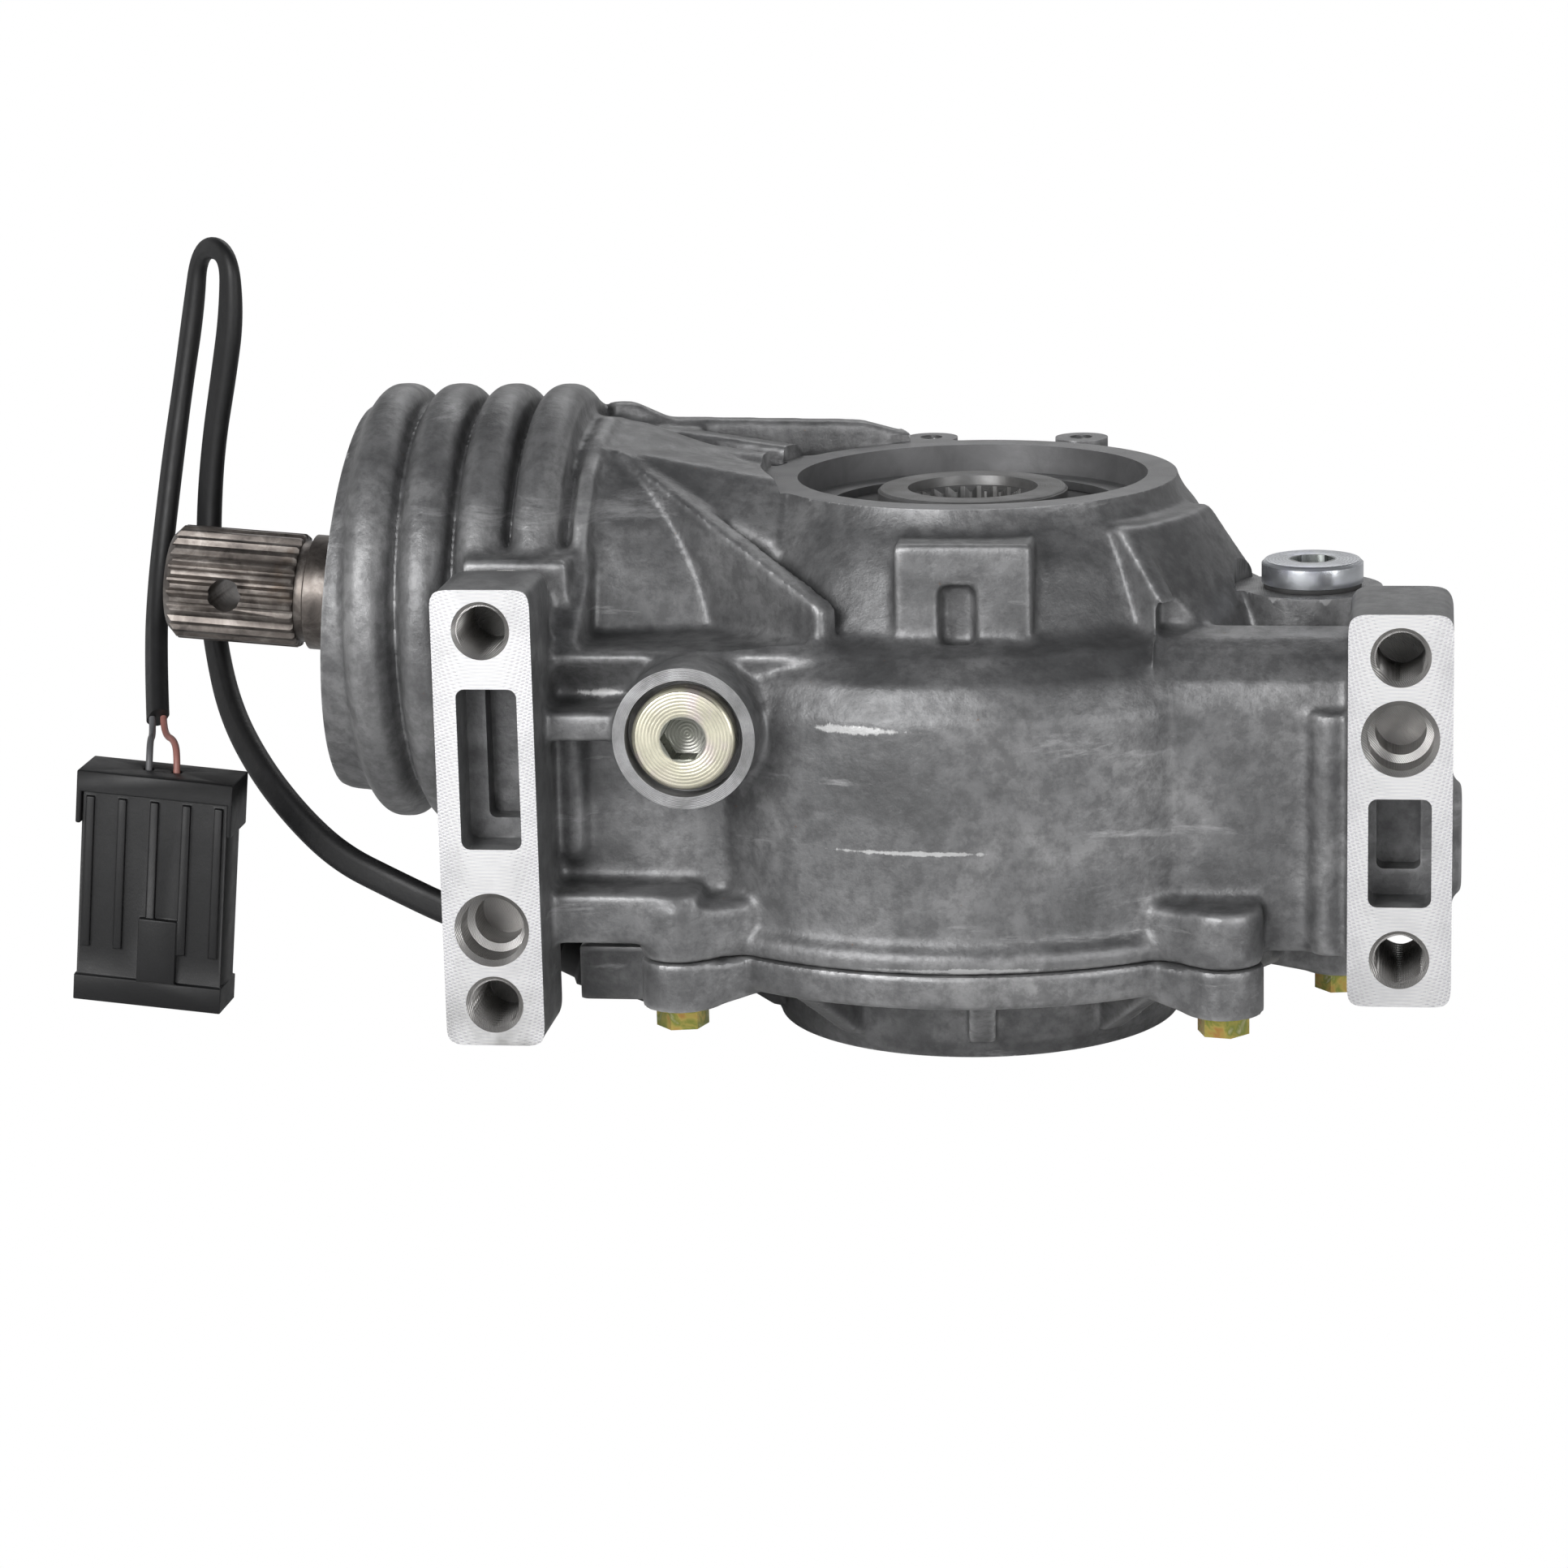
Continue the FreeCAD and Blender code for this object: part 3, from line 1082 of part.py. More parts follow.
def output_seal(name, inside_face, outside_face):
    """Lip seal in the case or cover round a hub neck."""
    return turned(name, [
        ("hub_neck + running_gap", f"({inside_face}) * 0.5 + ({outside_face}) * 0.5"),
        ("hub_neck + 2.5", inside_face),
        ("output_seal_outer", inside_face),
        ("output_seal_outer", outside_face),
        ("hub_neck + 5.5", outside_face),
        ("hub_neck + 3", f"({inside_face}) * 0.3 + ({outside_face}) * 0.7"),
        ("hub_neck + running_gap", f"({inside_face}) * 0.35 + ({outside_face}) * 0.65"),
    ])


# Roller clutch

def pocket_radius():
    """Distance of the drum's flats from the output axis: rollers wedge at the wedge angle."""
    reach = size("hub_race") + 2 * size("roller_radius")
    half = math.pi / size("roller_count")
    centre = size("hub_race") + size("roller_radius")
    flat = centre * math.cos(half - math.radians(size("wedge_angle"))) + size("roller_radius")
    return min(flat, reach)


def clutch_housing():
    lower_neck = "cover_recess_depth + seal_bore_depth + lip_thickness"
    flange_foot = "ring_back - gear_flange_thickness"
    solid = turned("drum_turned", [
        ("hub_neck + running_gap", f"{lower_neck} + 0.3"),
        ("carrier_neck", f"{lower_neck} + 0.3"),
        ("carrier_neck", "clutch_floor - floor_thickness"),
        ("drum_radius", "clutch_floor - floor_thickness"),
        ("drum_radius", flange_foot),
        ("gear_flange_radius", flange_foot),
        ("gear_flange_radius", "ring_back"),
        ("drum_radius", "ring_back"),
        ("drum_radius", "drum_top"),
        ("cap_radius + seat_gap", "drum_top"),
        ("cap_radius + seat_gap", "clutch_seat"),
        ("cage_outer", "clutch_seat"),
        ("cage_outer", "clutch_floor"),
        ("hub_neck + running_gap", "clutch_floor"),
    ])
    count = round(size("roller_count"))
    corner = pocket_radius() / math.cos(math.pi / count)
    points = []
    for index in range(count):
        turn = FreeCAD.Rotation(UP, 360.0 * index / count)
        points.append(turn.multVec(FreeCAD.Vector(corner, 0, size("clutch_floor"))))
    pockets = shaped("roller_pockets", closed_face(points).extrude(UP * (size("clutch_seat") - size("clutch_floor"))))
    groove_foot = "clutch_seat + cap_thickness + 0.05"
    groove = turned("cap_ring_groove", [
        ("cap_radius - 1", groove_foot),
        ("cap_radius + snap_ring_bite + 0.1", groove_foot),
        ("cap_radius + snap_ring_bite + 0.1", f"{groove_foot} + snap_ring_thickness + 0.1"),
        ("cap_radius - 1", f"{groove_foot} + snap_ring_thickness + 0.1"),
    ])
    hole = Part.makeCylinder(size("gear_bolt_radius") + size("seat_gap"), 12,
                             FreeCAD.Vector(size("gear_bolt_circle"), 0, size("ring_back") - 10))
    holes = shaped("gear_bolt_holes", Part.makeCompound(ring_of(hole, round(size("gear_bolt_count")))))
    slots = shaped("tang_slots", Part.makeCompound(tangs(
        size("carrier_neck") + 0.5, size("cage_outer") + 0.6,
        size("cage_tang_angle") + 2 * size("cage_shift") + 3,
        size("clutch_floor") - size("floor_thickness") - 1, size("clutch_floor") + 1)))
    item = cut("drum", solid, [pockets, groove, holes, slots])
    return item


def tangs(inner, outer, angle, foot, top):
    """Sectors of a ring, one for each tang of the cage."""
    sector = Part.makeCylinder(outer, top - foot, FreeCAD.Vector(0, 0, foot), UP, angle)
    sector = sector.cut(Part.makeCylinder(inner, top - foot, FreeCAD.Vector(0, 0, foot)))
    return ring_of(sector, round(size("cage_tang_count")), -angle / 2)


def clutch_cap():
    upper_neck = "rim_height - recess_depth - seal_bore_depth - lip_thickness"
    return turned("cap", [
        ("hub_neck + running_gap", "clutch_seat"),
        ("cap_radius", "clutch_seat"),
        ("cap_radius", "clutch_seat + cap_thickness"),
        ("carrier_neck + 3", "clutch_seat + cap_thickness"),
        ("carrier_neck + 3", f"{upper_neck} - carrier_bearing_width"),
        ("carrier_neck", f"{upper_neck} - carrier_bearing_width"),
        ("carrier_neck", f"{upper_neck} - 0.3"),
        ("hub_neck + running_gap", f"{upper_neck} - 0.3"),
    ])


def clutch_cap_ring():
    foot = "clutch_seat + cap_thickness + 0.1"
    return turned("cap_ring", [
        ("cap_radius - 2.5", foot),
        ("cap_radius + snap_ring_bite", foot),
        ("cap_radius + snap_ring_bite", f"{foot} + snap_ring_thickness"),
        ("cap_radius - 2.5", f"{foot} + snap_ring_thickness"),
    ])


def splined_hub(name, face, closed_end, drum_near, drum_far):
    """Output hub: splined blind bore in the neck, race for the rollers on the drum."""
    sign = 1 if size(face) > size(closed_end) else -1
    solid = turned_shape([
        (0, size(closed_end)), (size("hub_race"), size(closed_end)), (size("hub_race"), size(drum_far)),
        (size("hub_neck"), size(drum_far)), (size("hub_neck"), size(face) - 0.6 * sign),
        (size("hub_neck") - 0.6, size(face)), (0, size(face)),
    ])
    count = round(size("hub_spline_count"))
    bore_end = size(closed_end) + sign * size("hub_web")
    length = size(face) + sign - bore_end
    spline = star_face(count, size("hub_spline_minor"), size("hub_spline_major"), 0.5, bore_end)
    spline = spline.extrude(UP * length)
    mouth_end = size(face) - sign * size("hub_mouth_depth")
    mouth = turned_shape([
        (0, mouth_end - sign * 1.2), (size("hub_spline_minor"), mouth_end - sign * 1.2),
        (size("hub_bore"), mouth_end), (size("hub_bore"), size(face) + sign), (0, size(face) + sign),
    ])
    return shaped(name, solid.cut([spline, mouth]))


def thrust_washer(name, foot):
    return turned(name, [
        ("hub_neck + 0.4", foot),
        ("hub_race", foot),
        ("hub_race", f"{foot} + thrust_thickness"),
        ("hub_neck + 0.4", f"{foot} + thrust_thickness"),
    ])


def roll_cage():
    foot = size("clutch_floor") + 0.4
    top = size("clutch_seat") - 0.4
    inner = size("cage_inner")
    outer = size("cage_outer")
    wall = turned_shape([(inner, foot), (outer, foot), (outer, top), (inner, top)])
    legs = tangs(size("carrier_neck") + 1.0, outer, size("cage_tang_angle"),
                 size("armature_foot") + 0.4, size("clutch_floor") + 0.4)
    cage = wall.fuse(legs)
    half_width = size("roller_radius") + 0.1
    windows = []
    for middle in roller_rows():
        window = Part.makeBox(20, 2 * half_width, size("roller_length") + 0.6,
                              FreeCAD.Vector(inner - 4, -half_width, middle - size("roller_length") / 2 - 0.3))
        windows += ring_of(window, round(size("roller_count")))
    return shaped("cage", cage.cut(Part.makeCompound(windows)))


def roller_rows():
    """Heights of the two roller rows, each in the middle of its hub drum."""
    offset = size("hub_gap") / 2 + size("hub_drum_length") / 2
    return size("hub_split") - offset, size("hub_split") + offset


def rollers():
    centre = size("hub_race") + size("roller_radius") + size("running_gap")
    rows = []
    for middle in roller_rows():
        roller = Part.makeCylinder(size("roller_radius"), size("roller_length"),
                                   FreeCAD.Vector(centre, 0, middle - size("roller_length") / 2))
        rows += ring_of(roller, round(size("roller_count")))
    return shaped("roller_set", Part.makeCompound(rows))


def armature_plate():
    foot = size("armature_foot")
    height = size("armature_thickness")
    inner = size("carrier_neck") + 1.0
    ring = turned_shape([
        (inner, foot), (size("armature_outer"), foot), (size("armature_outer"), foot + height),
        (inner, foot + height),
    ])
    notches = tangs(inner - 1, size("cage_outer") + 0.3, size("cage_tang_angle") + 1.2, foot - 1, foot + height + 1)
    return shaped("armature", ring.cut(notches))


def coil_housing():
    return turned("coil_pot", [
        ("coil_housing_inner", "coil_seat"),
        ("coil_housing_outer", "coil_seat"),
        ("coil_housing_outer", "coil_seat + coil_housing_height"),
        ("coil_housing_outer - coil_wall", "coil_seat + coil_housing_height"),
        ("coil_housing_outer - coil_wall", "coil_seat + coil_floor"),
        ("coil_housing_inner + coil_wall", "coil_seat + coil_floor"),
        ("coil_housing_inner + coil_wall", "coil_seat + coil_housing_height"),
        ("coil_housing_inner", "coil_seat + coil_housing_height"),
    ])


def coil():
    return turned("winding", [
        ("coil_housing_inner + coil_wall + seat_gap", "coil_seat + coil_floor"),
        ("coil_housing_outer - coil_wall - seat_gap", "coil_seat + coil_floor"),
        ("coil_housing_outer - coil_wall - seat_gap", "coil_seat + coil_housing_height - 1"),
        ("coil_housing_inner + coil_wall + seat_gap", "coil_seat + coil_housing_height - 1"),
    ])


# Lead and connector

def tube_along(route, radius, note):
    """Straight runs joined by tangent arcs; prints the radii."""
    points = [FreeCAD.Vector(*point) for point in route]
    edges = []
    start = points[0]
    radii = []
    for before, corner, after in zip(points, points[1:], points[2:]):
        back = before - corner
        ahead = after - corner
        shorter = min(back.Length, ahead.Length)
        turn = math.pi - back.getAngle(ahead)
        reach = 0.45 * shorter
        arc_radius = reach / math.tan(turn / 2)
        radii.append(round(arc_radius, 1))
        back.normalize()
        ahead.normalize()
        arc_start = corner + back * reach
        arc_end = corner + ahead * reach
        inward = (back + ahead).normalize()
        middle = corner + inward * (arc_radius / math.cos(turn / 2) - arc_radius)
        edges.append(Part.LineSegment(start, arc_start).toShape())
        edges.append(Part.Arc(arc_start, middle, arc_end).toShape())
        start = arc_end
    edges.append(Part.LineSegment(start, points[-1]).toShape())
    path = Part.Wire(edges)
    section = Part.Wire(Part.makeCircle(radius, points[0], points[1] - points[0]))
    tube = path.makePipeShell([section], True, False)
    expected = math.pi * radius ** 2 * path.Length
    print(f"{note}: length {path.Length:.1f} mm, smallest radius {min(radii)} mm, radii {radii}")
    print(f"{note}: volume {tube.Volume:.1f} of {expected:.1f} mm3")
    return tube


def harness_sleeve():
    return shaped("sleeve", tube_along(SLEEVE_ROUTE, size("sleeve_radius"), "sleeve"))


def harness_wires():
    tubes = [tube_along(route, size("wire_radius"), "wire") for route in WIRE_ROUTES]
    return shaped("wires", Part.makeCompound(tubes))


def harness_grommet():
    """Tapered rubber grommet in the cover's lead hole."""
    item = turned("lead_grommet", [
        ("0", "0"),
        ("grommet_radius - 0.6", "0"),
        ("grommet_radius - 0.6", "14"),
        ("grommet_radius + 0.8", "14"),
        ("grommet_radius + 0.8", "15.5"),
        ("grommet_radius - 0.4", "16.5"),
        ("sleeve_radius + 0.7", "21"),
        ("0", "21"),
    ])
    return on_lead_axis(item)


def lean(item):
    """Stands a part of the connector on its leaning axis."""
    item.Placement = FreeCAD.Placement(FreeCAD.Vector(), FreeCAD.Rotation(FreeCAD.Vector(0, 1, 0), 5))
    item.setExpression("Placement.Rotation.Angle", bound("connector_tilt"))
    return seat(item, "-connector_x", "-connector_y", "connector_bottom")


def connector_body():
    width, depth, height = "connector_width", "connector_depth", "connector_height"
    shell = box("connector_shell", width, f"{depth} - 2", height, x=f"-{width} / 2", y=f"1 - {depth} / 2")
    parts = [shell]
    for index, place in enumerate(("-16", "-8.5", "-1", "6.5", "14")):
        parts.append(box(f"connector_rib_{index + 1}", "2", depth, f"{height} - 14", x=place,
                         y=f"-{depth} / 2", z="13"))
    parts.append(box("connector_foot", f"{width} + 0.8", depth, "6", x=f"-{width} / 2 - 0.4", y=f"-{depth} / 2"))
    parts.append(box("connector_latch", "9", "1.8", "15", x="-2.5", y=f"-{depth} / 2 - 0.6", z="6"))
    outside = fused("connector_outside", parts)
    mouth = box("connector_mouth", f"{width} - 8", "8", "19", x=f"4 - {width} / 2", y="-4", z="-1")
    ways = [cylinder(f"terminal_way_{side}", "1.5", f"{height} - terminal_foot + 2", x=place,
                     z="terminal_foot - 1")
            for side, place in (("left", "-terminal_offset"), ("right", "terminal_offset"))]
    return lean(cut("connector_shape", outside, [mouth, *ways]))


def connector_lock():
    width, depth = "connector_width", "connector_depth"
    cap = box("lock_cap", f"{width} + 2.4", f"{depth} + 0.6", "lock_top",
              x=f"-{width} / 2 - 1.2", y=f"-{depth} / 2 - 0.3", z="connector_height")
    ears = [box(f"lock_ear_{side}", "1.1", f"{depth} + 0.6", "lock_ear + 0.5", x=place,
                y=f"-{depth} / 2 - 0.3", z="connector_height - lock_ear")
            for side, place in (("left", f"-{width} / 2 - 1.2"), ("right", f"{width} / 2 + 0.1"))]
    holes = [cylinder(f"wire_hole_{side}", "wire_radius + 0.4", "lock_top + 2", x=place,
                      z="connector_height - 1")
             for side, place in (("left", "-terminal_offset"), ("right", "terminal_offset"))]
    return lean(cut("lock_shape", fused("lock_outside", [cap, *ears]), holes))


def connector_terminals():
    pins = []
    for place in (-size("terminal_offset"), size("terminal_offset")):
        foot = FreeCAD.Vector(place, 0, size("terminal_foot"))
        pins.append(Part.makeCylinder(1.45, size("connector_height - terminal_foot") - 0.2, foot))
    return lean(shaped("terminal_pair", Part.makeCompound(pins)))


def build():
    piece(main_case(), "main_case")
    piece(output_cover(), "output_cover")
    piece(cover_seal_ring(), "cover_seal_ring")
    piece(joint_bolts(), "cover_bolts")
    piece(joint_dowels(), "cover_dowels")
    fill = ("-y", "-fill_x", "fill_counterbore_depth - fill_face", "fill_height")
    drain = ("+z", "drain_x", "-drain_y", "drain_face")
    piece(plug("fill", *fill), "fill_plug")
    piece(plug_seal("fill_washer", *fill), "fill_plug_seal")
    piece(plug("drain", *drain), "drain_plug")
    piece(plug_seal("drain_washer", *drain), "drain_plug_seal")
    piece(ring_gear(), "ring_gear")
    piece(ring_gear_bolts(), "ring_gear_bolts")
    piece(clutch_housing(), "clutch_housing")
    piece(clutch_cap(), "clutch_cap")
    piece(clutch_cap_ring(), "clutch_cap_ring")
    piece(pinion_shaft(), "pinion_shaft")
    for item, label in zip(pinion_bearing(), ("outer_race", "inner_race", "balls")):
        piece(item, f"pinion_bearing_{label}")
    for item, label in zip(pinion_rings(), ("pinion_retaining_ring", "pinion_shaft_ring", "pinion_seal")):
        piece(item, label)
    upper_foot = size("rim_height - recess_depth - seal_bore_depth - lip_thickness - carrier_bearing_width")
    lower_foot = size("cover_recess_depth + seal_bore_depth + lip_thickness")
    for side, foot in (("upper", upper_foot), ("lower", lower_foot)):
        for item, label in zip(carrier_bearing(side, foot), ("outer_race", "inner_race", "balls")):
            piece(item, f"{side}_bearing_{label}")
    upper_seal_foot = "rim_height - recess_depth - seal_bore_depth"
    lower_seal_top = "cover_recess_depth + seal_bore_depth"
    piece(output_seal("top_seal", upper_seal_foot, f"{upper_seal_foot} + output_seal_thickness"),
          "upper_output_seal")
    piece(output_seal("bottom_seal", lower_seal_top, f"{lower_seal_top} - output_seal_thickness"),
          "lower_output_seal")
    piece(splined_hub("top_hub", "rim_height - hub_rise", "hub_split + hub_gap / 2", "hub_split",
                      "hub_split + hub_gap / 2 + hub_drum_length"), "upper_output_hub")
    piece(splined_hub("bottom_hub", "hub_rise", "hub_split - hub_gap / 2", "hub_split",
                      "hub_split - hub_gap / 2 - hub_drum_length"), "lower_output_hub")
    piece(thrust_washer("top_washer", "clutch_seat - thrust_thickness - 0.05"), "upper_thrust_washer")
    piece(thrust_washer("bottom_washer", "clutch_floor + 0.05"), "lower_thrust_washer")
    piece(cylinder("button", "12", "hub_gap - 0.1", z="hub_split - hub_gap / 2 + 0.05"), "thrust_button")
    piece(roll_cage(), "roll_cage")
    piece(rollers(), "rollers")
    piece(armature_plate(), "armature_plate")
    piece(coil_housing(), "coil_housing")
    piece(coil(), "coil")
    piece(harness_grommet(), "harness_grommet")
    piece(harness_sleeve(), "harness_sleeve")
    piece(harness_wires(), "harness_wires")
    piece(connector_body(), "connector_body")
    piece(connector_lock(), "connector_lock")
    piece(connector_terminals(), "connector_terminals")


def check_and_write():
    doc.recompute()
    failed = [item.Name for item in doc.Objects if {"Invalid", "Error"} & set(item.State)]
    if failed:
        raise RuntimeError(f"failed objects: {failed}")
    for item in pieces:
        if item.Shape.isNull() or not item.Shape.isValid():
            raise RuntimeError(f"{item.Label} has no valid shape")
    os.makedirs("parts", exist_ok=True)
    for item in pieces:
        item.Shape.exportStep(f"parts/{item.Label}.step")
        print(f"{item.Label}: {len(item.Shape.Solids)} solids, {item.Shape.Volume:.0f} mm3")


build()
check_and_write()
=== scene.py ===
import math

import bmesh
import bpy
import numpy as np
from mathutils import Matrix, Vector


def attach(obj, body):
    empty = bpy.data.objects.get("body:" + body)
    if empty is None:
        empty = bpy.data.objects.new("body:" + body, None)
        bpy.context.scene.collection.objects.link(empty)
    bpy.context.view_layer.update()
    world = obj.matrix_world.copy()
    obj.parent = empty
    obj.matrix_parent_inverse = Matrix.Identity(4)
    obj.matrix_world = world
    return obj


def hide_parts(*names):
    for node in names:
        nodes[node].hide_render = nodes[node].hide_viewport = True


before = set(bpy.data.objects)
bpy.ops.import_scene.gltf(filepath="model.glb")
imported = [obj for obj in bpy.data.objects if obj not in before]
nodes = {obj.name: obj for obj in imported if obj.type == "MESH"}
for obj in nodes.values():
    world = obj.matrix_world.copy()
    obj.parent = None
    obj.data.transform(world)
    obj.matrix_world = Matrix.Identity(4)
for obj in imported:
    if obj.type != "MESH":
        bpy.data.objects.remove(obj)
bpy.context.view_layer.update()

scene = bpy.context.scene
scene.view_settings.view_transform = "Standard"
MM = 0.001

# Camera: a 108 mm lens about a metre away, a little above the pads
PICTURE = 1932
FOCAL_PX = 5800
SENSOR = 36
DISTANCE = 1080 * MM
AZIMUTH, ELEVATION, ROLL = math.radians(8), math.radians(13.5), math.radians(1.4)
AIM = Vector((0, 0, 62.8 * MM))
AIM_PX = (1203, 907)

# Places and sizes on the casting, in millimetres; those of machined faces are the solid's
APEX = 84.0
TILT = math.radians(4.5)
RIM_HEIGHT = 123.8
JOINT_HEIGHT = 28.3
PAD_FACE = -85.0
SNOUT_FRONT = 142.4
FILL_AXIS = (-55.2, 80.0)
FILL_FACE = -79.0
DRAIN_AXIS = (77.0, -20.0)
DRAIN_FACE = 102.0
RIB_FIRST, RIB_PITCH, RIB_HALF_WIDTH = 93.1, 12.63, 4.5
RIB_CREST, RIB_GROWTH = 50.0, 0.9
BOLT_ANGLES, BOLT_CIRCLE = (-132, -48, -19, 42, 97, 146), 88.5
LAND_RADIUS, LAND_ROOT, LAND_REACH = 8.5, 13, 15
RIM_BOSSES = ((-14.5, 50.5), (21.0, 50.5))
RIM_BOSS_BOTTOM = 110.8
PLUG_BORE = 9.02
# Radius of the plugs' socket, inside which the plugs are painted dark as the socket's shade
PLUG_SOCKET = 4.9
FIN_HEAD, FIN_FOOT, FIN_THICKNESS = (-78.0, -15.0, 132.6), (-27.0, -58.0, 105.4), 5.2

# Threads as minor radius, major radius and pitch: M12 in the pads, M6 in the rim's bosses
PAD_THREAD = (5.05, 5.95, 1.75)
BOSS_THREAD = (2.5, 3.0, 1.0)

# The pads: corners as (x, z), threads as (height, depth), pocket from its low to its high corner, and
# how far the pocket's floor is set in on the left, below and on the right
PADS = (
    {"low": (-108.1, 12.8), "high": (-86.5, 113.5), "depth": 24.0, "column": -97.3,
     "threads": ((104.6, 22.0), (22.0, 22.0)), "dowel": 38.7,
     "pocket": (-103.2, 56.6, -90.0, 91.9), "floor_inset": (4.2, 4.5, 0.6)},
    {"low": (86.0, 24.4), "high": (107.8, 108.8), "depth": 33.0, "column": 96.9,
     "threads": ((99.7, 22.0), (34.7, 41.0)), "dowel": 82.4,
     "pocket": (90.3, 46.1, 103.5, 69.5), "floor_inset": (1.6, 5.6, 2.3)},
)

# Where the cutters of the pads' holes start, and the height of the middle of the milling marks
PAD_CUT = PAD_FACE - 2
MILLED_MIDDLE = 60

# Space inside the bell and the recess above it, as (radius, height)
HOLLOW = (
    (0, JOINT_HEIGHT - 8), (72, JOINT_HEIGHT - 8), (72, 81), (57, 92.5), (43, 98.8), (36.02, 98.8),
    (36.02, 108.8), (31, 108.8), (31, 110.5), (33.02, 110.5), (33.02, 117.3), (39.6, 117.3), (39.6, 132),
    (0, 132),
)

# Skin of the castings: size of a voxel, and edges sharper than this stay sharp
CASE_VOXEL, COVER_VOXEL = 0.8, 0.7
SKIN_SHARP = math.radians(32)
SOLID_SHARP = math.radians(35)

# A face belongs to a machined plane when its centre is this near and its normal agrees this well
FLUSH, SQUARE = 0.05, 0.98

# A face belongs to a hole, a recess or a boss when it lies this near to the axis and within this depth
THREAD_REACH, DOWEL_REACH, HOLE_DEPTH = 6.9, 8.6, 36
RECESS_REACH, RECESS_FLOOR = 39.7, 105
FILL_REACH, DRAIN_REACH = 15.2, 15.6
COVER_REACH, COVER_DEPTH = 54.5, 10

# Rubbed places on the wall: height, half height, middle and half width along X
SCUFFS = ((81.4, 1.0, -19.0, 18.0), (54.8, 0.55, -6.0, 28.0), (29.4, 0.6, 4.0, 30.0), (86.0, 0.9, -76.0, 9.0))

# Route of the sleeve, as the solid has it, in millimetres
SLEEVE_ROUTE = (
    (-89.733, -44.0, 22.682),
    (-100.1, -44.0, 26.46),
    (-114.6, -42.0, 30.6),
    (-129.2, -39.2, 36.6),
    (-142.2, -33.4, 41.0),
    (-154.0, -24.0, 47.8),
    (-166.0, -11.0, 56.5),
    (-176.2, 4.0, 66.5),
    (-182.4, 17.0, 79.5),
    (-184.4, 21.8, 94.5),
    (-183.8, 22.4, 110.5),
    (-181.4, 21.0, 127.5),
    (-177.4, 18.4, 144.0),
    (-174.2, 16.2, 158.5),
    (-174.0, 16.0, 173.4),
    (-184.2, 28.6, 173.2),
    (-187.0, 30.2, 157.5),
    (-190.2, 29.4, 140.5),
    (-192.8, 27.2, 124.5),
    (-194.6, 23.4, 109.0),
    (-195.4, 16.8, 94.5),
    (-194.2, 6.6, 80.8),
    (-190.6, -7.4, 67.6),
)

# The sleeve's sizes across, in millimetres
SLEEVE_RADIUS = 3.5
SLEEVE_FLAT = 1.3

# The sleeve's thickness at points of its route, as a share; the fold is the flattest
SLEEVE_PINCH = {8: 0.95, 11: 0.94, 14: 0.72, 15: 0.74, 17: 0.92}

WIRE_RADIUS = 0.8
GREY_WIRE = (
    (-191.86, -7.72, 67.6), (-190.94, -11.3, 64.2), (-188.6, -21.9, 65.8), (-187.67, -27.0, 61.9),
    (-188.23, -27.0, 56.0),
)
PINK_WIRE = (
    (-189.34, -7.08, 67.6), (-188.42, -10.7, 64.2), (-182.8, -21.4, 65.4), (-181.11, -27.0, 61.4),
    (-181.68, -27.0, 55.4),
)


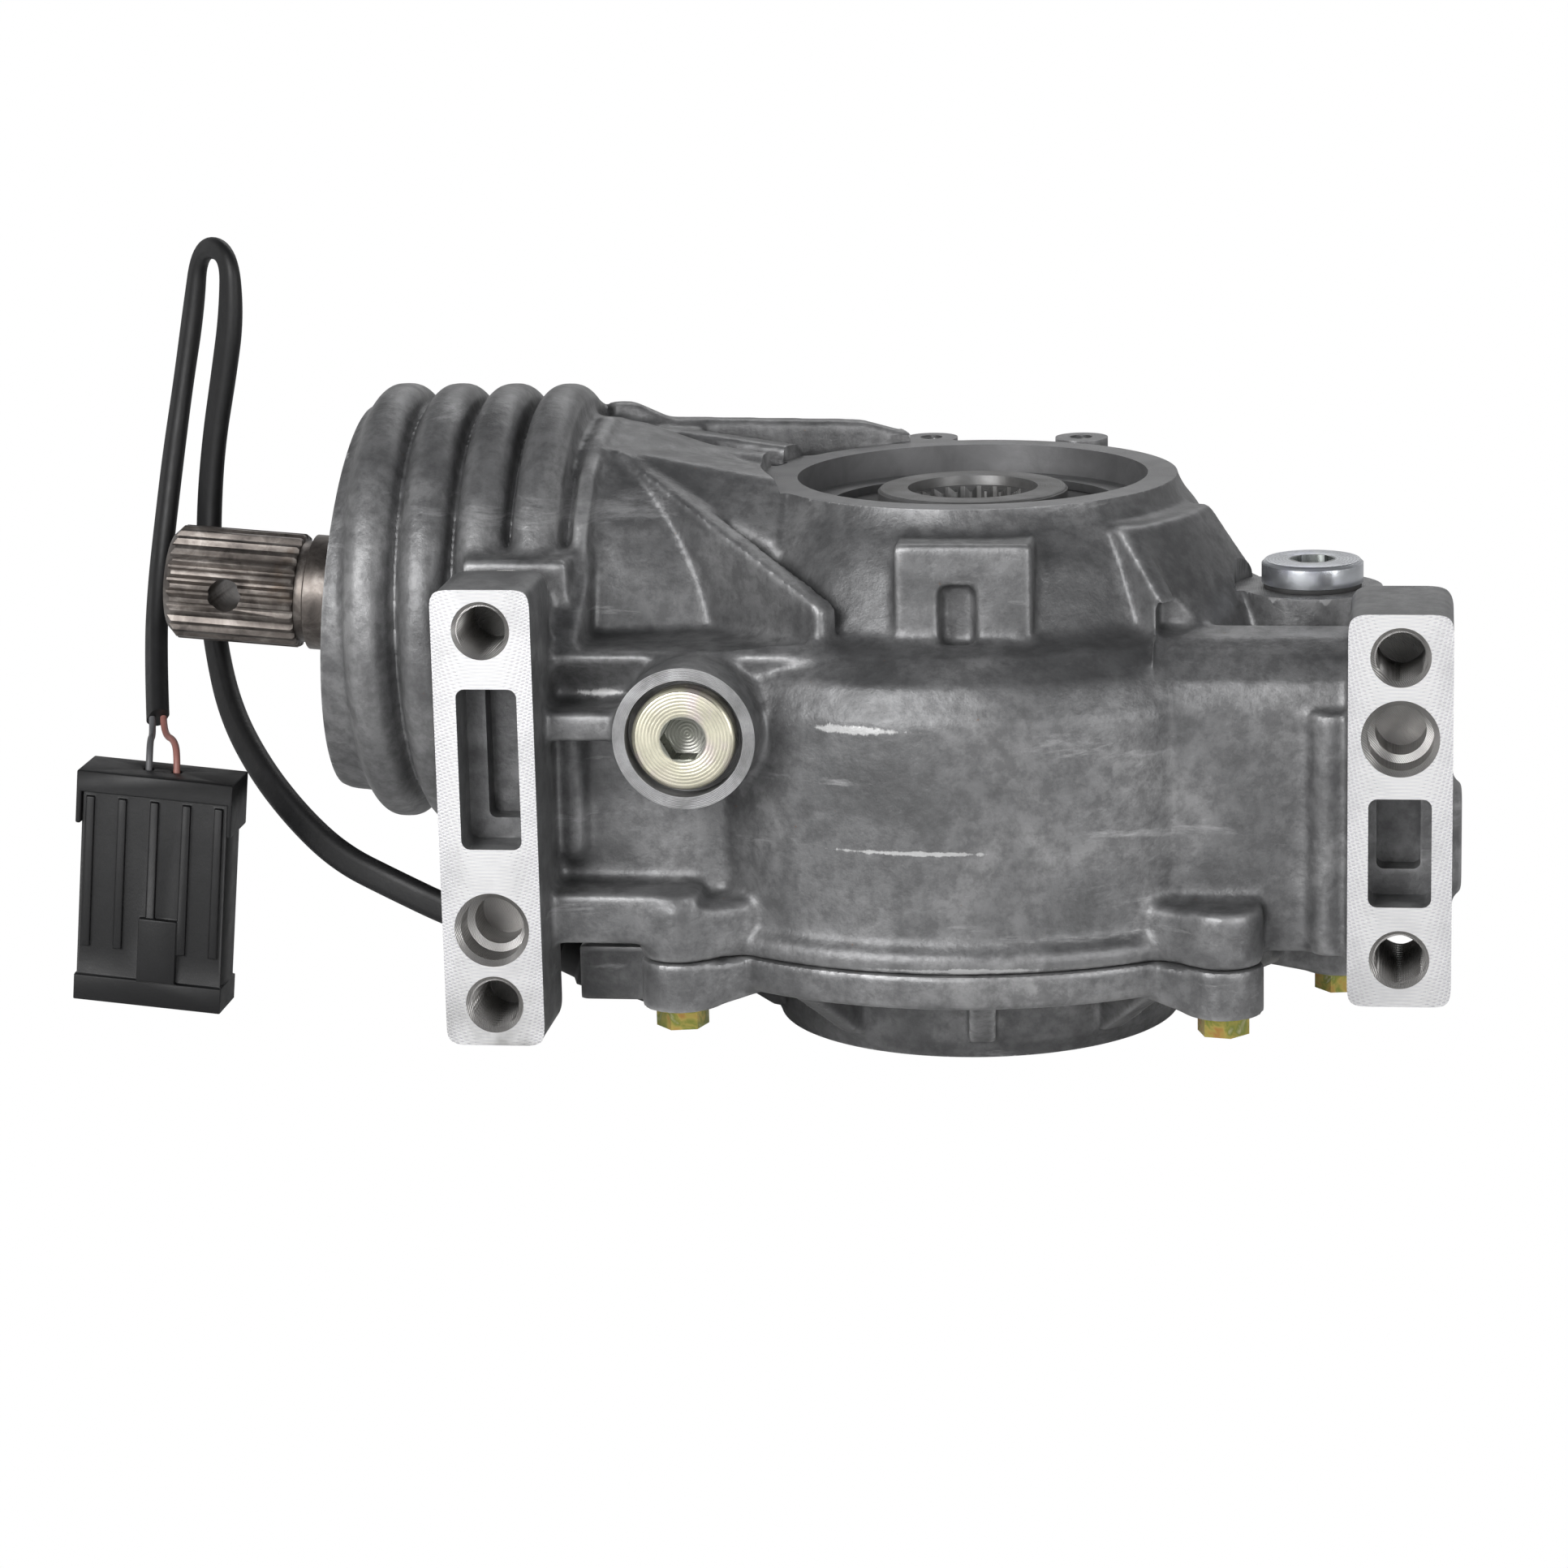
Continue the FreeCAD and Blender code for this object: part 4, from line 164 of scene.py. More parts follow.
class Look:
    """A material and its nodes."""

    def __init__(self, name, color, metallic, roughness):
        self.material = bpy.data.materials.new(name)
        self.material.use_nodes = True
        self.tree = self.material.node_tree
        self.shader = self.tree.nodes["Principled BSDF"]
        self.shader.inputs["Base Color"].default_value = (*color, 1)
        self.shader.inputs["Metallic"].default_value = metallic
        self.shader.inputs["Roughness"].default_value = roughness
        self.place = self.node("ShaderNodeTexCoord").outputs["Object"]

    def node(self, kind, inputs=None, **settings):
        node = self.tree.nodes.new(kind)
        for name, value in settings.items():
            setattr(node, name, value)
        for key, value in (inputs or {}).items():
            socket = node.inputs[key]
            if isinstance(value, bpy.types.NodeSocket):
                self.tree.links.new(value, socket)
            else:
                socket.default_value = value
        return node

    def moved(self, offset=(0, 0, 0), scale=(1, 1, 1)):
        mapping = self.node("ShaderNodeMapping", {"Vector": self.place})
        mapping.inputs["Location"].default_value = offset
        mapping.inputs["Scale"].default_value = scale
        return mapping.outputs[0]

    def noise(self, scale, detail=4, roughness=0.55, distortion=0.0, place=None):
        return self.node("ShaderNodeTexNoise", {
            "Vector": place or self.place, "Scale": scale, "Detail": detail, "Roughness": roughness,
            "Distortion": distortion,
        }).outputs["Fac"]

    def rings(self, scale, place, distortion, axis="Z"):
        return self.node("ShaderNodeTexWave", {
            "Vector": place, "Scale": scale, "Distortion": distortion, "Detail": 2.0, "Detail Scale": 2.0,
        }, wave_type="RINGS", rings_direction=axis).outputs["Fac"]

    def ramp(self, fac, *stops):
        node = self.node("ShaderNodeValToRGB", {"Fac": fac})
        ramp = node.color_ramp
        while len(ramp.elements) < len(stops):
            ramp.elements.new(0.5)
        for element, (position, color) in zip(ramp.elements, stops):
            element.position = position
            element.color = (*color, 1) if hasattr(color, "__len__") else (color, color, color, 1)
        return node.outputs["Color"]

    def mix(self, fac, first, second):
        node = self.node("ShaderNodeMix", data_type="RGBA")
        for index, value in ((0, fac), (6, first), (7, second)):
            socket = node.inputs[index]
            if isinstance(value, bpy.types.NodeSocket):
                self.tree.links.new(value, socket)
            else:
                socket.default_value = (*value, 1) if hasattr(value, "__len__") else value
        return node.outputs[2]

    def calc(self, first, second, operation="ADD"):
        return self.node("ShaderNodeMath", {0: first, 1: second}, operation=operation).outputs[0]

    def span(self, value, low, high, start=0.0, end=1.0):
        """Value between start and end, brought to low and high."""
        return self.node("ShaderNodeMapRange", {
            "Value": value, "From Min": start, "From Max": end, "To Min": low, "To Max": high,
        }).outputs[0]

    # Mask of convex edges by pointiness, for pale edges that are partly wear and partly a painted highlight
    def edge_wear_and_highlight(self, start, end):
        return self.span(self.node("ShaderNodeNewGeometry").outputs["Pointiness"], 0.0, 1.0, start, end)

    def color(self, socket):
        self.tree.links.new(socket, self.shader.inputs["Base Color"])

    def rough(self, socket):
        self.tree.links.new(socket, self.shader.inputs["Roughness"])

    def bump(self, *layers):
        """Layers are (height socket, depth in metres)."""
        normal = None
        for height, depth in layers:
            inputs = {"Height": height, "Distance": depth, "Strength": 1.0}
            if normal:
                inputs["Normal"] = normal
            normal = self.node("ShaderNodeBump", inputs).outputs["Normal"]
        self.tree.links.new(normal, self.shader.inputs["Normal"])


def cast_look():
    """Sand-cast aluminium, oiled and handled: pale edges, partly worn and partly a painted highlight, and
    scuffs.
    """
    look = Look("cast_aluminium", (0.17, 0.17, 0.17), 0.55, 0.46)
    stains = look.noise(34, 6, 0.62, 0.5)
    grain = look.noise(850, 3, 0.6)
    speck = look.noise(240, 6, 0.7)
    scuff = look.noise(30, 7, 0.72, 0.3, look.moved(scale=(0.6, 0.6, 3.2)))
    rust = look.noise(330, 3, 0.6)
    base = look.ramp(stains, (0.3, (0.1, 0.101, 0.103)), (0.5, (0.185, 0.186, 0.189)),
                     (0.72, (0.3, 0.3, 0.302)))
    base = look.mix(look.ramp(speck, (0.4, 0.55), (0.58, 0.0)), base, (0.08, 0.08, 0.082))
    base = look.mix(look.ramp(scuff, (0.6, 0.0), (0.72, 0.75)), base, (0.42, 0.42, 0.425))
    base = look.mix(look.ramp(rust, (0.74, 0.0), (0.78, 0.6)), base, (0.2, 0.11, 0.06))
    place = look.node("ShaderNodeSeparateXYZ", {0: look.place}).outputs
    strokes = look.noise(380, 6, 0.75, 0.0, look.moved(scale=(1, 1, 0.4)))
    front = look.calc(place[1], -55 * MM, "LESS_THAN")
    for height, half_height, middle, half_width in SCUFFS:
        mask = front
        for socket, at, reach in ((place[2], height, half_height * 2), (place[0], middle, half_width * 1.2)):
            away = look.calc(look.calc(socket, at * MM, "SUBTRACT"), 0.0, "ABSOLUTE")
            mask = look.calc(mask, look.span(away, 1.0, 0.0, 0.0, reach * MM), "MULTIPLY")
        rubbed = look.ramp(look.calc(strokes, look.calc(mask, 0.75, "MULTIPLY")), (0.84, 0.0), (0.98, 0.85))
        base = look.mix(rubbed, base, (0.52, 0.52, 0.52))
    # Pale edges: partly wear, partly a painted highlight along the convex edges, broken up by patches
    patches = look.ramp(look.noise(55, 5, 0.65), (0.42, 0.12), (0.62, 0.85))
    base = look.mix(look.calc(look.edge_wear_and_highlight(0.505, 0.56), patches, "MULTIPLY"), base, (0.55, 0.55, 0.555))
    look.color(base)
    look.rough(look.span(stains, 0.34, 0.56))
    look.bump((grain, 0.00007), (speck, 0.00016), (look.noise(70, 3), 0.0005))
    return look.material


def machined_look(name, column):
    """Face-milled aluminium: the cutter's arcs, stacked along the pad and crossing near its edges."""
    sweep, pitch = 24.0, 0.85
    look = Look(name, (0.76, 0.76, 0.77), 0.6, 0.3)
    from_middle = look.moved((-column * MM, 0, -MILLED_MIDDLE * MM))
    place = look.node("ShaderNodeSeparateXYZ", {0: from_middle}).outputs
    across = look.calc(place[0], place[0], "MULTIPLY")
    arc = look.calc(look.calc((sweep * MM) ** 2, across, "SUBTRACT"), 0.5, "POWER")
    waves = []
    for operation, step in (("SUBTRACT", pitch), ("ADD", pitch * 0.83)):
        path = look.calc(place[2], arc, operation)
        wobble = look.calc(look.noise(90, 3), 0.0004, "MULTIPLY")
        turns = look.calc(look.calc(path, wobble), 2 * math.pi / (step * MM), "MULTIPLY")
        waves.append(look.calc(turns, 0.0, "SINE"))
    edge = look.span(across, 0.25, 1.0, (3 * MM) ** 2, (10 * MM) ** 2)
    both = look.calc(look.calc(*waves), edge, "MULTIPLY")
    marks = look.span(both, 0.0, 1.0, -2.0, 2.0)
    base = look.ramp(marks, (0.2, (0.6, 0.6, 0.63)), (0.45, (0.74, 0.74, 0.75)), (0.62, (0.83, 0.825, 0.815)),
                     (0.85, (0.7, 0.685, 0.715)))
    stain = look.noise(55, 5, 0.6)
    base = look.mix(look.ramp(stain, (0.5, 0.0), (0.75, 0.55)), base, (0.46, 0.46, 0.47))
    low = look.span(place[2], 0.0, 1.0, -30 * MM, -46 * MM)
    dirt = look.calc(low, look.ramp(look.noise(120, 5), (0.35, 0.0), (0.6, 0.7)), "MULTIPLY")
    look.color(look.mix(dirt, base, (0.3, 0.3, 0.29)))
    look.rough(look.span(marks, 0.22, 0.38))
    look.bump((marks, 0.00003))
    return look.material


def turned_look(name, color, middle, axis, metallic=0.9, roughness=0.32, pitch=900, second=None, tint=None,
                socket=None):
    """Turned metal: rings about an axis through middle, in metres; within the socket's radius it is painted
    dark as the socket's shade.
    """
    look = Look(name, color, metallic, roughness)
    place = look.moved((-middle[0], -middle[1], -middle[2]))
    rings = look.rings(pitch, place, 0.8, axis)
    stain = look.noise(120, 4, 0.6, 0.5)
    second = second or tuple(c * 0.75 for c in color)
    base = look.mix(look.ramp(stain, (0.35, 0.0), (0.7, 1.0)), color, second)
    if tint:
        base = look.mix(look.ramp(look.noise(75, 3, 0.5, 1.2), (0.52, 0.0), (0.66, 0.7)), base, tint)
    if socket:
        across = tuple(float(letter != axis) for letter in "XYZ")
        flat = look.node("ShaderNodeVectorMath", {0: place, 1: across}, operation="MULTIPLY").outputs[0]
        away = look.node("ShaderNodeVectorMath", {0: flat}, operation="LENGTH").outputs["Value"]
        # Painted shade: inside the socket's radius the colour goes dark, standing in for the shadow in the
        # socket
        painted_socket_shade = look.span(away, 0.85, 0.0, socket * MM, (socket + 0.4) * MM)
        base = look.mix(painted_socket_shade, base, (0.12, 0.13, 0.12))
    look.color(base)
    look.rough(look.span(rings, roughness - 0.06, roughness + 0.1))
    look.bump((rings, 0.00004), (look.noise(700, 3), 0.00002))
    return look.material


def plastic_look(name, color, roughness=0.5, grain=1500, depth=0.00003):
    look = Look(name, color, 0.0, roughness)
    wear = look.noise(90, 5, 0.65)
    worn = tuple(min(1, c * 2.2 + 0.004) for c in color)
    look.color(look.mix(look.ramp(wear, (0.5, 0.0), (0.75, 0.5)), color, worn))
    look.rough(look.span(look.noise(200, 4), roughness - 0.12, roughness + 0.15))
    look.bump((look.noise(grain, 2), depth), (look.noise(160, 3), depth * 2))
    return look.material


def shaft_look():
    look = Look("shaft_steel", (0.16, 0.14, 0.13), 0.8, 0.38)
    stain = look.noise(150, 6, 0.65, 0.6)
    base = look.ramp(stain, (0.3, (0.06, 0.052, 0.048)), (0.52, (0.15, 0.132, 0.12)),
                     (0.72, (0.3, 0.275, 0.255)))
    base = look.mix(look.ramp(look.noise(60, 4), (0.58, 0.0), (0.7, 0.5)), base, (0.18, 0.12, 0.075))
    look.color(base)
    look.rough(look.span(stain, 0.28, 0.5))
    look.bump((look.noise(900, 3), 0.00003), (stain, 0.00004))
    return look.material


def bolt_look():
    look = Look("yellow_zinc", (0.6, 0.48, 0.18), 0.85, 0.3)
    drift = look.noise(170, 3, 0.5, 1.5)
    look.color(look.ramp(drift, (0.3, (0.6, 0.3, 0.1)), (0.45, (0.62, 0.5, 0.14)), (0.58, (0.3, 0.34, 0.08)),
                         (0.72, (0.68, 0.62, 0.4))))
    look.rough(look.span(look.noise(300, 3), 0.22, 0.42))
    look.bump((look.noise(1200, 2), 0.00003))
    return look.material


def rubber_look():
    color = (0.022, 0.022, 0.023)
    look = Look("seal_rubber", color, 0.0, 0.62)
    look.color(look.mix(look.ramp(look.noise(120, 4), (0.45, 0.0), (0.75, 0.6)), color, (0.07, 0.068, 0.065)))
    look.bump((look.noise(1600, 2), 0.00003), (look.noise(300, 3), 0.00005))
    return look.material


def winding_look():
    look = Look("copper_winding", (0.55, 0.26, 0.1), 0.8, 0.35)
    turns = look.rings(1300, look.place, 0.1)
    look.color(look.mix(turns, (0.34, 0.14, 0.05), (0.66, 0.32, 0.12)))
    look.bump((turns, 0.0002))
    return look.material


# Mesh helpers; all sizes go in as millimetres

def mesh_object(name, points, faces, smooth=True):
    data = bpy.data.meshes.new(name)
    data.from_pydata([tuple(c * MM for c in point) for point in points], [], faces)
    data.validate()
    data.update()
    obj = bpy.data.objects.new(name, data)
    scene.collection.objects.link(obj)
    for polygon in data.polygons:
        polygon.use_smooth = smooth
    return obj


def lathe(name, profile, matrix=Matrix.Identity(4), count=96):
    """Closed solid turned round its own Z from (radius, height) points, bottom to top."""
    points, rows, faces = [], [], []
    for radius, height in profile:
        if radius < 1e-6:
            rows.append([len(points)])
            points.append(matrix @ Vector((0, 0, height)))
            continue
        rows.append(list(range(len(points), len(points) + count)))
        for index in range(count):
            turn = 2 * math.pi * index / count
            points.append(matrix @ Vector((radius * math.cos(turn), radius * math.sin(turn), height)))
    for low, high in zip(rows, rows[1:]):
        for index in range(count):
            after = (index + 1) % count
            if len(low) == 1:
                faces.append((low[0], high[after], high[index]))
            elif len(high) == 1:
                faces.append((low[index], low[after], high[0]))
            else:
                faces.append((low[index], low[after], high[after], high[index]))
    return mesh_object(name, points, faces)


def block(name, low, high):
    xs, ys, zs = zip(low, high)
    points = [(x, y, z) for x in xs for y in ys for z in zs]
    faces = [(0, 1, 3, 2), (4, 6, 7, 5), (0, 4, 5, 1), (2, 3, 7, 6), (0, 2, 6, 4), (1, 5, 7, 3)]
    return mesh_object(name, points, faces, smooth=False)


def hull(name, points):
    """Convex solid round its corners."""
    work = bmesh.new()
    for point in points:
        work.verts.new([c * MM for c in point])
    bmesh.ops.convex_hull(work, input=work.verts)
    bmesh.ops.recalc_face_normals(work, faces=work.faces)
    data = bpy.data.meshes.new(name)
    work.to_mesh(data)
    work.free()
    obj = bpy.data.objects.new(name, data)
    scene.collection.objects.link(obj)
    return obj


def prism_y(name, outline, start, end):
    """Prism along Y from corners (x, z), anticlockwise seen from -Y."""
    count = len(outline)
    points = [(x, start, z) for x, z in outline] + [(x, end, z) for x, z in outline]
    faces = [tuple(range(count)), tuple(reversed(range(count, 2 * count)))]
    for index in range(count):
        after = (index + 1) % count
        faces.append((index, index + count, after + count, after))
    return mesh_object(name, points, faces, smooth=False)


def prism_x(name, outline, start, end):
    """Prism along X from corners (y, z), anticlockwise seen from +X."""
    count = len(outline)
    points = [(start, y, z) for y, z in outline] + [(end, y, z) for y, z in outline]
    faces = [tuple(reversed(range(count))), tuple(range(count, 2 * count))]
    for index in range(count):
        after = (index + 1) % count
        faces.append((index, after, after + count, index + count))
    return mesh_object(name, points, faces, smooth=False)


def rounded(low_x, low_z, high_x, high_z, radius):
    """Corners of a rounded rectangle in XZ, anticlockwise seen from -Y."""
    corners = []
    steps = 6
    for x, z, start in ((high_x - radius, low_z + radius, -90), (high_x - radius, high_z - radius, 0),
                        (low_x + radius, high_z - radius, 90), (low_x + radius, low_z + radius, 180)):
        for step in range(steps + 1):
            turn = math.radians(start + 90 * step / steps)
            corners.append((x + radius * math.cos(turn), z + radius * math.sin(turn)))
    return corners


def thread_tool(name, minor, major, pitch, length, matrix, count=48):
    """Closed solid with a V-shaped thread, its own Z from the mouth inwards."""
    per_turn = 6
    rows = int(length / pitch * per_turn) + 1
    points, faces = [], []
    for row in range(rows):
        height = row * pitch / per_turn
        for index in range(count):
            phase = (height / pitch - index / count) % 1.0
            radius = minor + (major - minor) * (1 - abs(2 * phase - 1))
            turn = 2 * math.pi * index / count
            points.append(matrix @ Vector((radius * math.cos(turn), radius * math.sin(turn), height)))
    for row in range(rows - 1):
        for index in range(count):
            after = (index + 1) % count
            a, b = row * count + index, row * count + after
            faces.append((a, b, b + count, a + count))
    faces.append(tuple(reversed(range(count))))
    faces.append(tuple(range((rows - 1) * count, rows * count)))
    return mesh_object(name, points, faces)


def copy_of(node):
    data = nodes[node].data.copy()
    obj = bpy.data.objects.new("copy_" + node, data)
    scene.collection.objects.link(obj)
    work = bmesh.new()
    work.from_mesh(data)
    bmesh.ops.remove_doubles(work, verts=work.verts, dist=1e-6)
    work.to_mesh(data)
    work.free()
    return obj


def joined(name, objects):
    work = bmesh.new()
    for obj in objects:
        work.from_mesh(obj.data)
        bpy.data.objects.remove(obj)
    data = bpy.data.meshes.new(name)
    work.to_mesh(data)
    work.free()
    obj = bpy.data.objects.new(name, data)
    scene.collection.objects.link(obj)
    return obj


def applied(obj):
    """Replaces the mesh by what its modifiers make of it."""
    bpy.context.view_layer.update()
    evaluated = obj.evaluated_get(bpy.context.evaluated_depsgraph_get())
    data = bpy.data.meshes.new_from_object(evaluated)
    obj.modifiers.clear()
    old, obj.data = obj.data, data
    bpy.data.meshes.remove(old)
    return obj


def cast_skin(obj, voxel, rounds):
    remesh = obj.modifiers.new("skin", "REMESH")
    remesh.mode = "VOXEL"
    remesh.voxel_size = voxel * MM
    smooth = obj.modifiers.new("smooth", "SMOOTH")
    smooth.factor = 0.5
    smooth.iterations = rounds
    return applied(obj)


def cut_by(obj, tools):
    for tool in tools:
        boolean = obj.modifiers.new("cut", "BOOLEAN")
        boolean.solver = "MANIFOLD"
        boolean.operation = "DIFFERENCE"
        boolean.object = tool
        applied(obj)
        bpy.data.objects.remove(tool)
    return obj


def dress(obj, *materials):
    obj.data.materials.clear()
    for material in materials:
        obj.data.materials.append(material)
    return obj


def sharpen(obj, angle):
    """Smooth shading, with edges past the angle left sharp."""
    obj.data.polygons.foreach_set("use_smooth", np.ones(len(obj.data.polygons), bool))
    obj.data.set_sharp_from_angle(angle=angle)


def face_table(obj):
    """Centres and normals of the faces, centres in millimetres."""
    count = len(obj.data.polygons)
    centres, normals = np.zeros(count * 3), np.zeros(count * 3)
    obj.data.polygons.foreach_get("center", centres)
    obj.data.polygons.foreach_get("normal", normals)
    return centres.reshape(-1, 3) * 1000, normals.reshape(-1, 3)


def toward_pads(x, z, y):
    """Place whose own Z runs along +Y, into the pads."""
    return Matrix.Translation((x, y, z)) @ Matrix.Rotation(math.radians(-90), 4, "X")


PINION = Matrix.Translation((0, 0, APEX)) @ Matrix.Rotation(TILT - math.pi / 2, 4, "Y")


def snout_ribs():
    """Broad rounded ribs, each next one standing a little higher towards the bell."""
    ribs = []
    for index in range(4):
        reach = RIB_FIRST + index * RIB_PITCH
        crest = RIB_CREST + (3 - index) * RIB_GROWTH
        middle = (-reach, 0, APEX + reach * math.tan(TILT))
        place = Matrix.Translation(middle) @ Matrix.Rotation(-math.pi / 2, 4, "Y")
        half = RIB_HALF_WIDTH
        ribs.append(lathe(f"rib_{index}", [
            (0, -half - 1.4), (40, -half - 1.4), (crest - 2.6, -half - 0.6), (crest - 0.8, 1.1 - half),
            (crest, 2.4 - half), (crest, half - 2.4), (crest - 0.8, half - 1.1), (crest - 2.6, half + 0.6),
            (40, half + 1.4), (0, half + 1.4)], place))
    return ribs


def fin():
    """Upright web from the top of the snout down to the shoulder."""
    head, foot = Vector(FIN_HEAD), Vector(FIN_FOOT)
    along = Vector((foot.x - head.x, foot.y - head.y, 0)).normalized()
    side = along.cross(Vector((0, 0, 1))) * FIN_THICKNESS / 2
    corners = [head, foot, foot + along * 1.2 - Vector((0, 0, 1.4)), foot + along * 1.2 - Vector((0, 0, 12)),
               head - Vector((0, 0, 34))]
    return hull("fin", [corner + offset for corner in corners for offset in (-side, side)])


def snout_body():
    """The snout without its ribs, turned round the pinion's axis."""
    return lathe("snout_body", [
        (0, 26), (33, 30), (39, 58), (43.2, 76), (44.6, 86), (44.6, 115), (0, 115)], PINION)


def bell_body():
    """The outside of the bell, without its ribs and bosses."""
    return lathe("bell_body", [
        (0, 31), (77.6, 31), (77.6, 84), (76.2, 88.4), (73.5, 92), (69, 95), (63, 97.4), (0, 97.4)])


def fin_hollow():
    """Space in front of the fin, down to the snout and the shoulder."""
    head, foot = Vector((*FIN_HEAD[:2], 0)), Vector((*FIN_FOOT[:2], 0))
    front = (foot - head).normalized().cross(Vector((0, 0, 1))) * FIN_THICKNESS / 2
    plan = [head + front, foot + front, Vector((-81.4, -68, 0))]
    space = hull("fin_hollow", [corner + Vector((0, 0, z)) for corner in plan for z in (95.6, 142)])
    return cut_by(space, [snout_body(), bell_body()])


def ring_points(radius, x, y, heights):
    """Corners of a round post about (x, y), between two heights."""
    count = 32
    turns = [2 * math.pi * index / count for index in range(count)]
    return [(x + radius * math.cos(turn), y + radius * math.sin(turn), z) for turn in turns for z in heights]


def bolt_lands(low, high, inner_low):
    """Smooth body of each bolt boss or ear, from its bolt to the wall."""
    lands = []
    for angle in BOLT_ANGLES:
        turn = math.radians(angle)
        x, y = math.cos(turn), math.sin(turn)
        inner = BOLT_CIRCLE - LAND_REACH
        outside = ring_points(LAND_RADIUS, BOLT_CIRCLE * x, BOLT_CIRCLE * y, (low, high))
        root = ring_points(LAND_ROOT, inner * x, inner * y, (inner_low, high))
        lands.append(hull(f"land_{angle}", outside + root))
    return lands


def saddle_fills():
    """Casting between snout and bell, with ridge and shelf beside the left pad and the neck's panel."""
    saddle = hull("saddle", [
        (-86, -14, 133.3), (-86, 24, 133.3), (-86, -20, 116), (-86, -24, 95), (-86, 24, 95),
        (-40, -24, 126.4), (-40, 24, 126.4), (-40, -37, 114.8), (-40, -38, 95), (-40, 24, 95)])
    cut_by(saddle, [block("slot_front", (-82, -7, 124), (-47, 1.5, 140)),
                    block("slot_back", (-82, 8, 121), (-41, 16.5, 140))])
    ridge = ((-49.5, 84), (-50, 95), (-47, 108), (-40, 119.5), (-30, 128.5), (-15, 134.5), (0, 137),
             (15, 134.5), (28, 128), (28, 84))
    panel = ((70, 90), (69, 97), (54.4, 118.5), (40, 118.5), (40, 90))
    turns = [math.radians(angle) for angle in range(-46, -7, 2)]
    return [
        saddle,
        fin(),
        snout_body(),
        hull("side_ridge", [(x, y, z) for x in (-85, -81.4) for y, z in ridge]),
        block("left_shelf", (-107.6, -53, 84), (-84, -25, 113.6)),
        hull("neck_panel", [(r * math.cos(turn), r * math.sin(turn), z) for turn in turns for r, z in panel]),
        lathe("left_post", [(0, 48), (2.2, 48.4), (3.6, 50.5), (3.6, 79), (0, 79)],
              Matrix.Translation((-83, -60, 0)), 32),
    ]


def web_round():
    """Space above the rounded web beside the right pad, outside the bell."""
    above = ((-66, 83), (-61, 83), (-59.5, 88.5), (-55, 93.5), (-49, 96.5), (-43, 97.4), (-43, 104),
             (-66, 104))
    return cut_by(prism_x("web_round", above, 44, 86), [bell_body()])


def pad_casting(pad):
    """A mounting pad: what the casting has there, and the cutters for its face, holes and pocket."""
    (x0, z0), (x1, z1) = pad["low"], pad["high"]
    back = PAD_FACE + pad["depth"]
    fills = [
        block("pad_fill", (x0 + 0.7, PAD_FACE - 1, z0 + 0.7), (x1 - 0.7, back - 0.7, z1 - 0.7)),
        prism_y("pad_front", rounded(x0, z0, x1, z1, 2.2), PAD_FACE - 3.5, PAD_FACE + 0.5),
    ]
    tools = [block("pad_plane", (x0 - 5, PAD_FACE - 12, z0 - 5), (x1 + 5, PAD_FACE, z1 + 5))]
    for height, depth in pad["threads"]:
        mouth = toward_pads(pad["column"], height, PAD_CUT)
        tools.append(thread_tool("thread", *PAD_THREAD, depth, mouth))
        tools.append(lathe("mouth", [(0, 0), (8.3, 0), (5.5, 2.85), (0, 2.85)], mouth, 64))
    tools.append(lathe("dowel", [(0, 0), (10.2, 0), (7.0, 3.2), (7.0, 10), (5.4, 10.9), (5.4, 20), (0, 20)],
                       toward_pads(pad["column"], pad["dowel"], PAD_CUT)))
    x0, z0, x1, z1 = pad["pocket"]
    tools.append(prism_y("pocket", rounded(x0, z0, x1, z1, 1.9), PAD_CUT, PAD_FACE + 11))
    left, under, right = pad["floor_inset"]
    tools.append(prism_y("pocket_floor", rounded(x0 + left, z0 + under, x1 - right, z1 - 0.6, 1.6),
                         PAD_FACE + 9, PAD_FACE + 17))
    return fills, tools


def plug_casting():
    """The bosses of the fill plug, towards the pads' side, and of the drain plug, on the shoulder."""
    fill = toward_pads(*FILL_AXIS, FILL_FACE)
    drain = Matrix.Translation((*DRAIN_AXIS, DRAIN_FACE))
    fills = [
        lathe("fill_core", [(0, -3.5), (15.5, -3.5), (15.5, 1), (14.4, 1), (14.4, 26), (0, 26)], fill),
        lathe("drain_core", [(0, -22), (14.4, -22), (14.4, -1), (15.5, -1), (15.5, 3.5), (0, 3.5)], drain),
    ]
    tools = [
        block("fill_plane", (-72.5, FILL_FACE - 10, 62), (-38, FILL_FACE, 98)),
        lathe("fill_bore", [
            (0, -6), (12.8, -6), (12.8, 5.5), (PLUG_BORE, 5.5), (PLUG_BORE, 50), (0, 50)], fill),
        lathe("drain_plane", [(0, 0), (17.5, 0), (17.5, 12), (0, 12)], drain),
        lathe("drain_bore", [(0, -30), (PLUG_BORE, -30), (PLUG_BORE, 5), (0, 5)], drain),
    ]
    return fills, tools


def rim_casting():
    """The bell up to the rim of the recess, the rim's milled face and its two small threaded bosses."""
    fills = [
        lathe("rim_core", [(0, 100), (45, 100), (46, 122), (46, 127.5), (0, 127.5)]),
        lathe("bell_core", [(0, 29.2), (73.5, 29.2), (73.5, 81.5), (58, 93.5), (45, 99.5), (0, 99.5)]),
    ]
    tools = [lathe("rim_plane", [(0, RIM_HEIGHT), (48.2, RIM_HEIGHT), (48.2, 134), (0, 134)])]
    for x, y in RIM_BOSSES:
        place = Matrix.Translation((x, y, 0))
        fills.append(lathe("rim_boss", [(0, 110), (5.6, 110), (6.3, 122), (6.3, 127), (0, 127)], place, 48))
        tools.append(lathe("boss_plane", [
            (0, RIM_HEIGHT), (7.6, RIM_HEIGHT), (7.6, 134), (0, 134)], place, 48))
        bottom = Matrix.Translation((x, y, RIM_BOSS_BOTTOM))
        tools.append(thread_tool("boss_thread", *BOSS_THREAD, 16, bottom, 32))
    return fills, tools


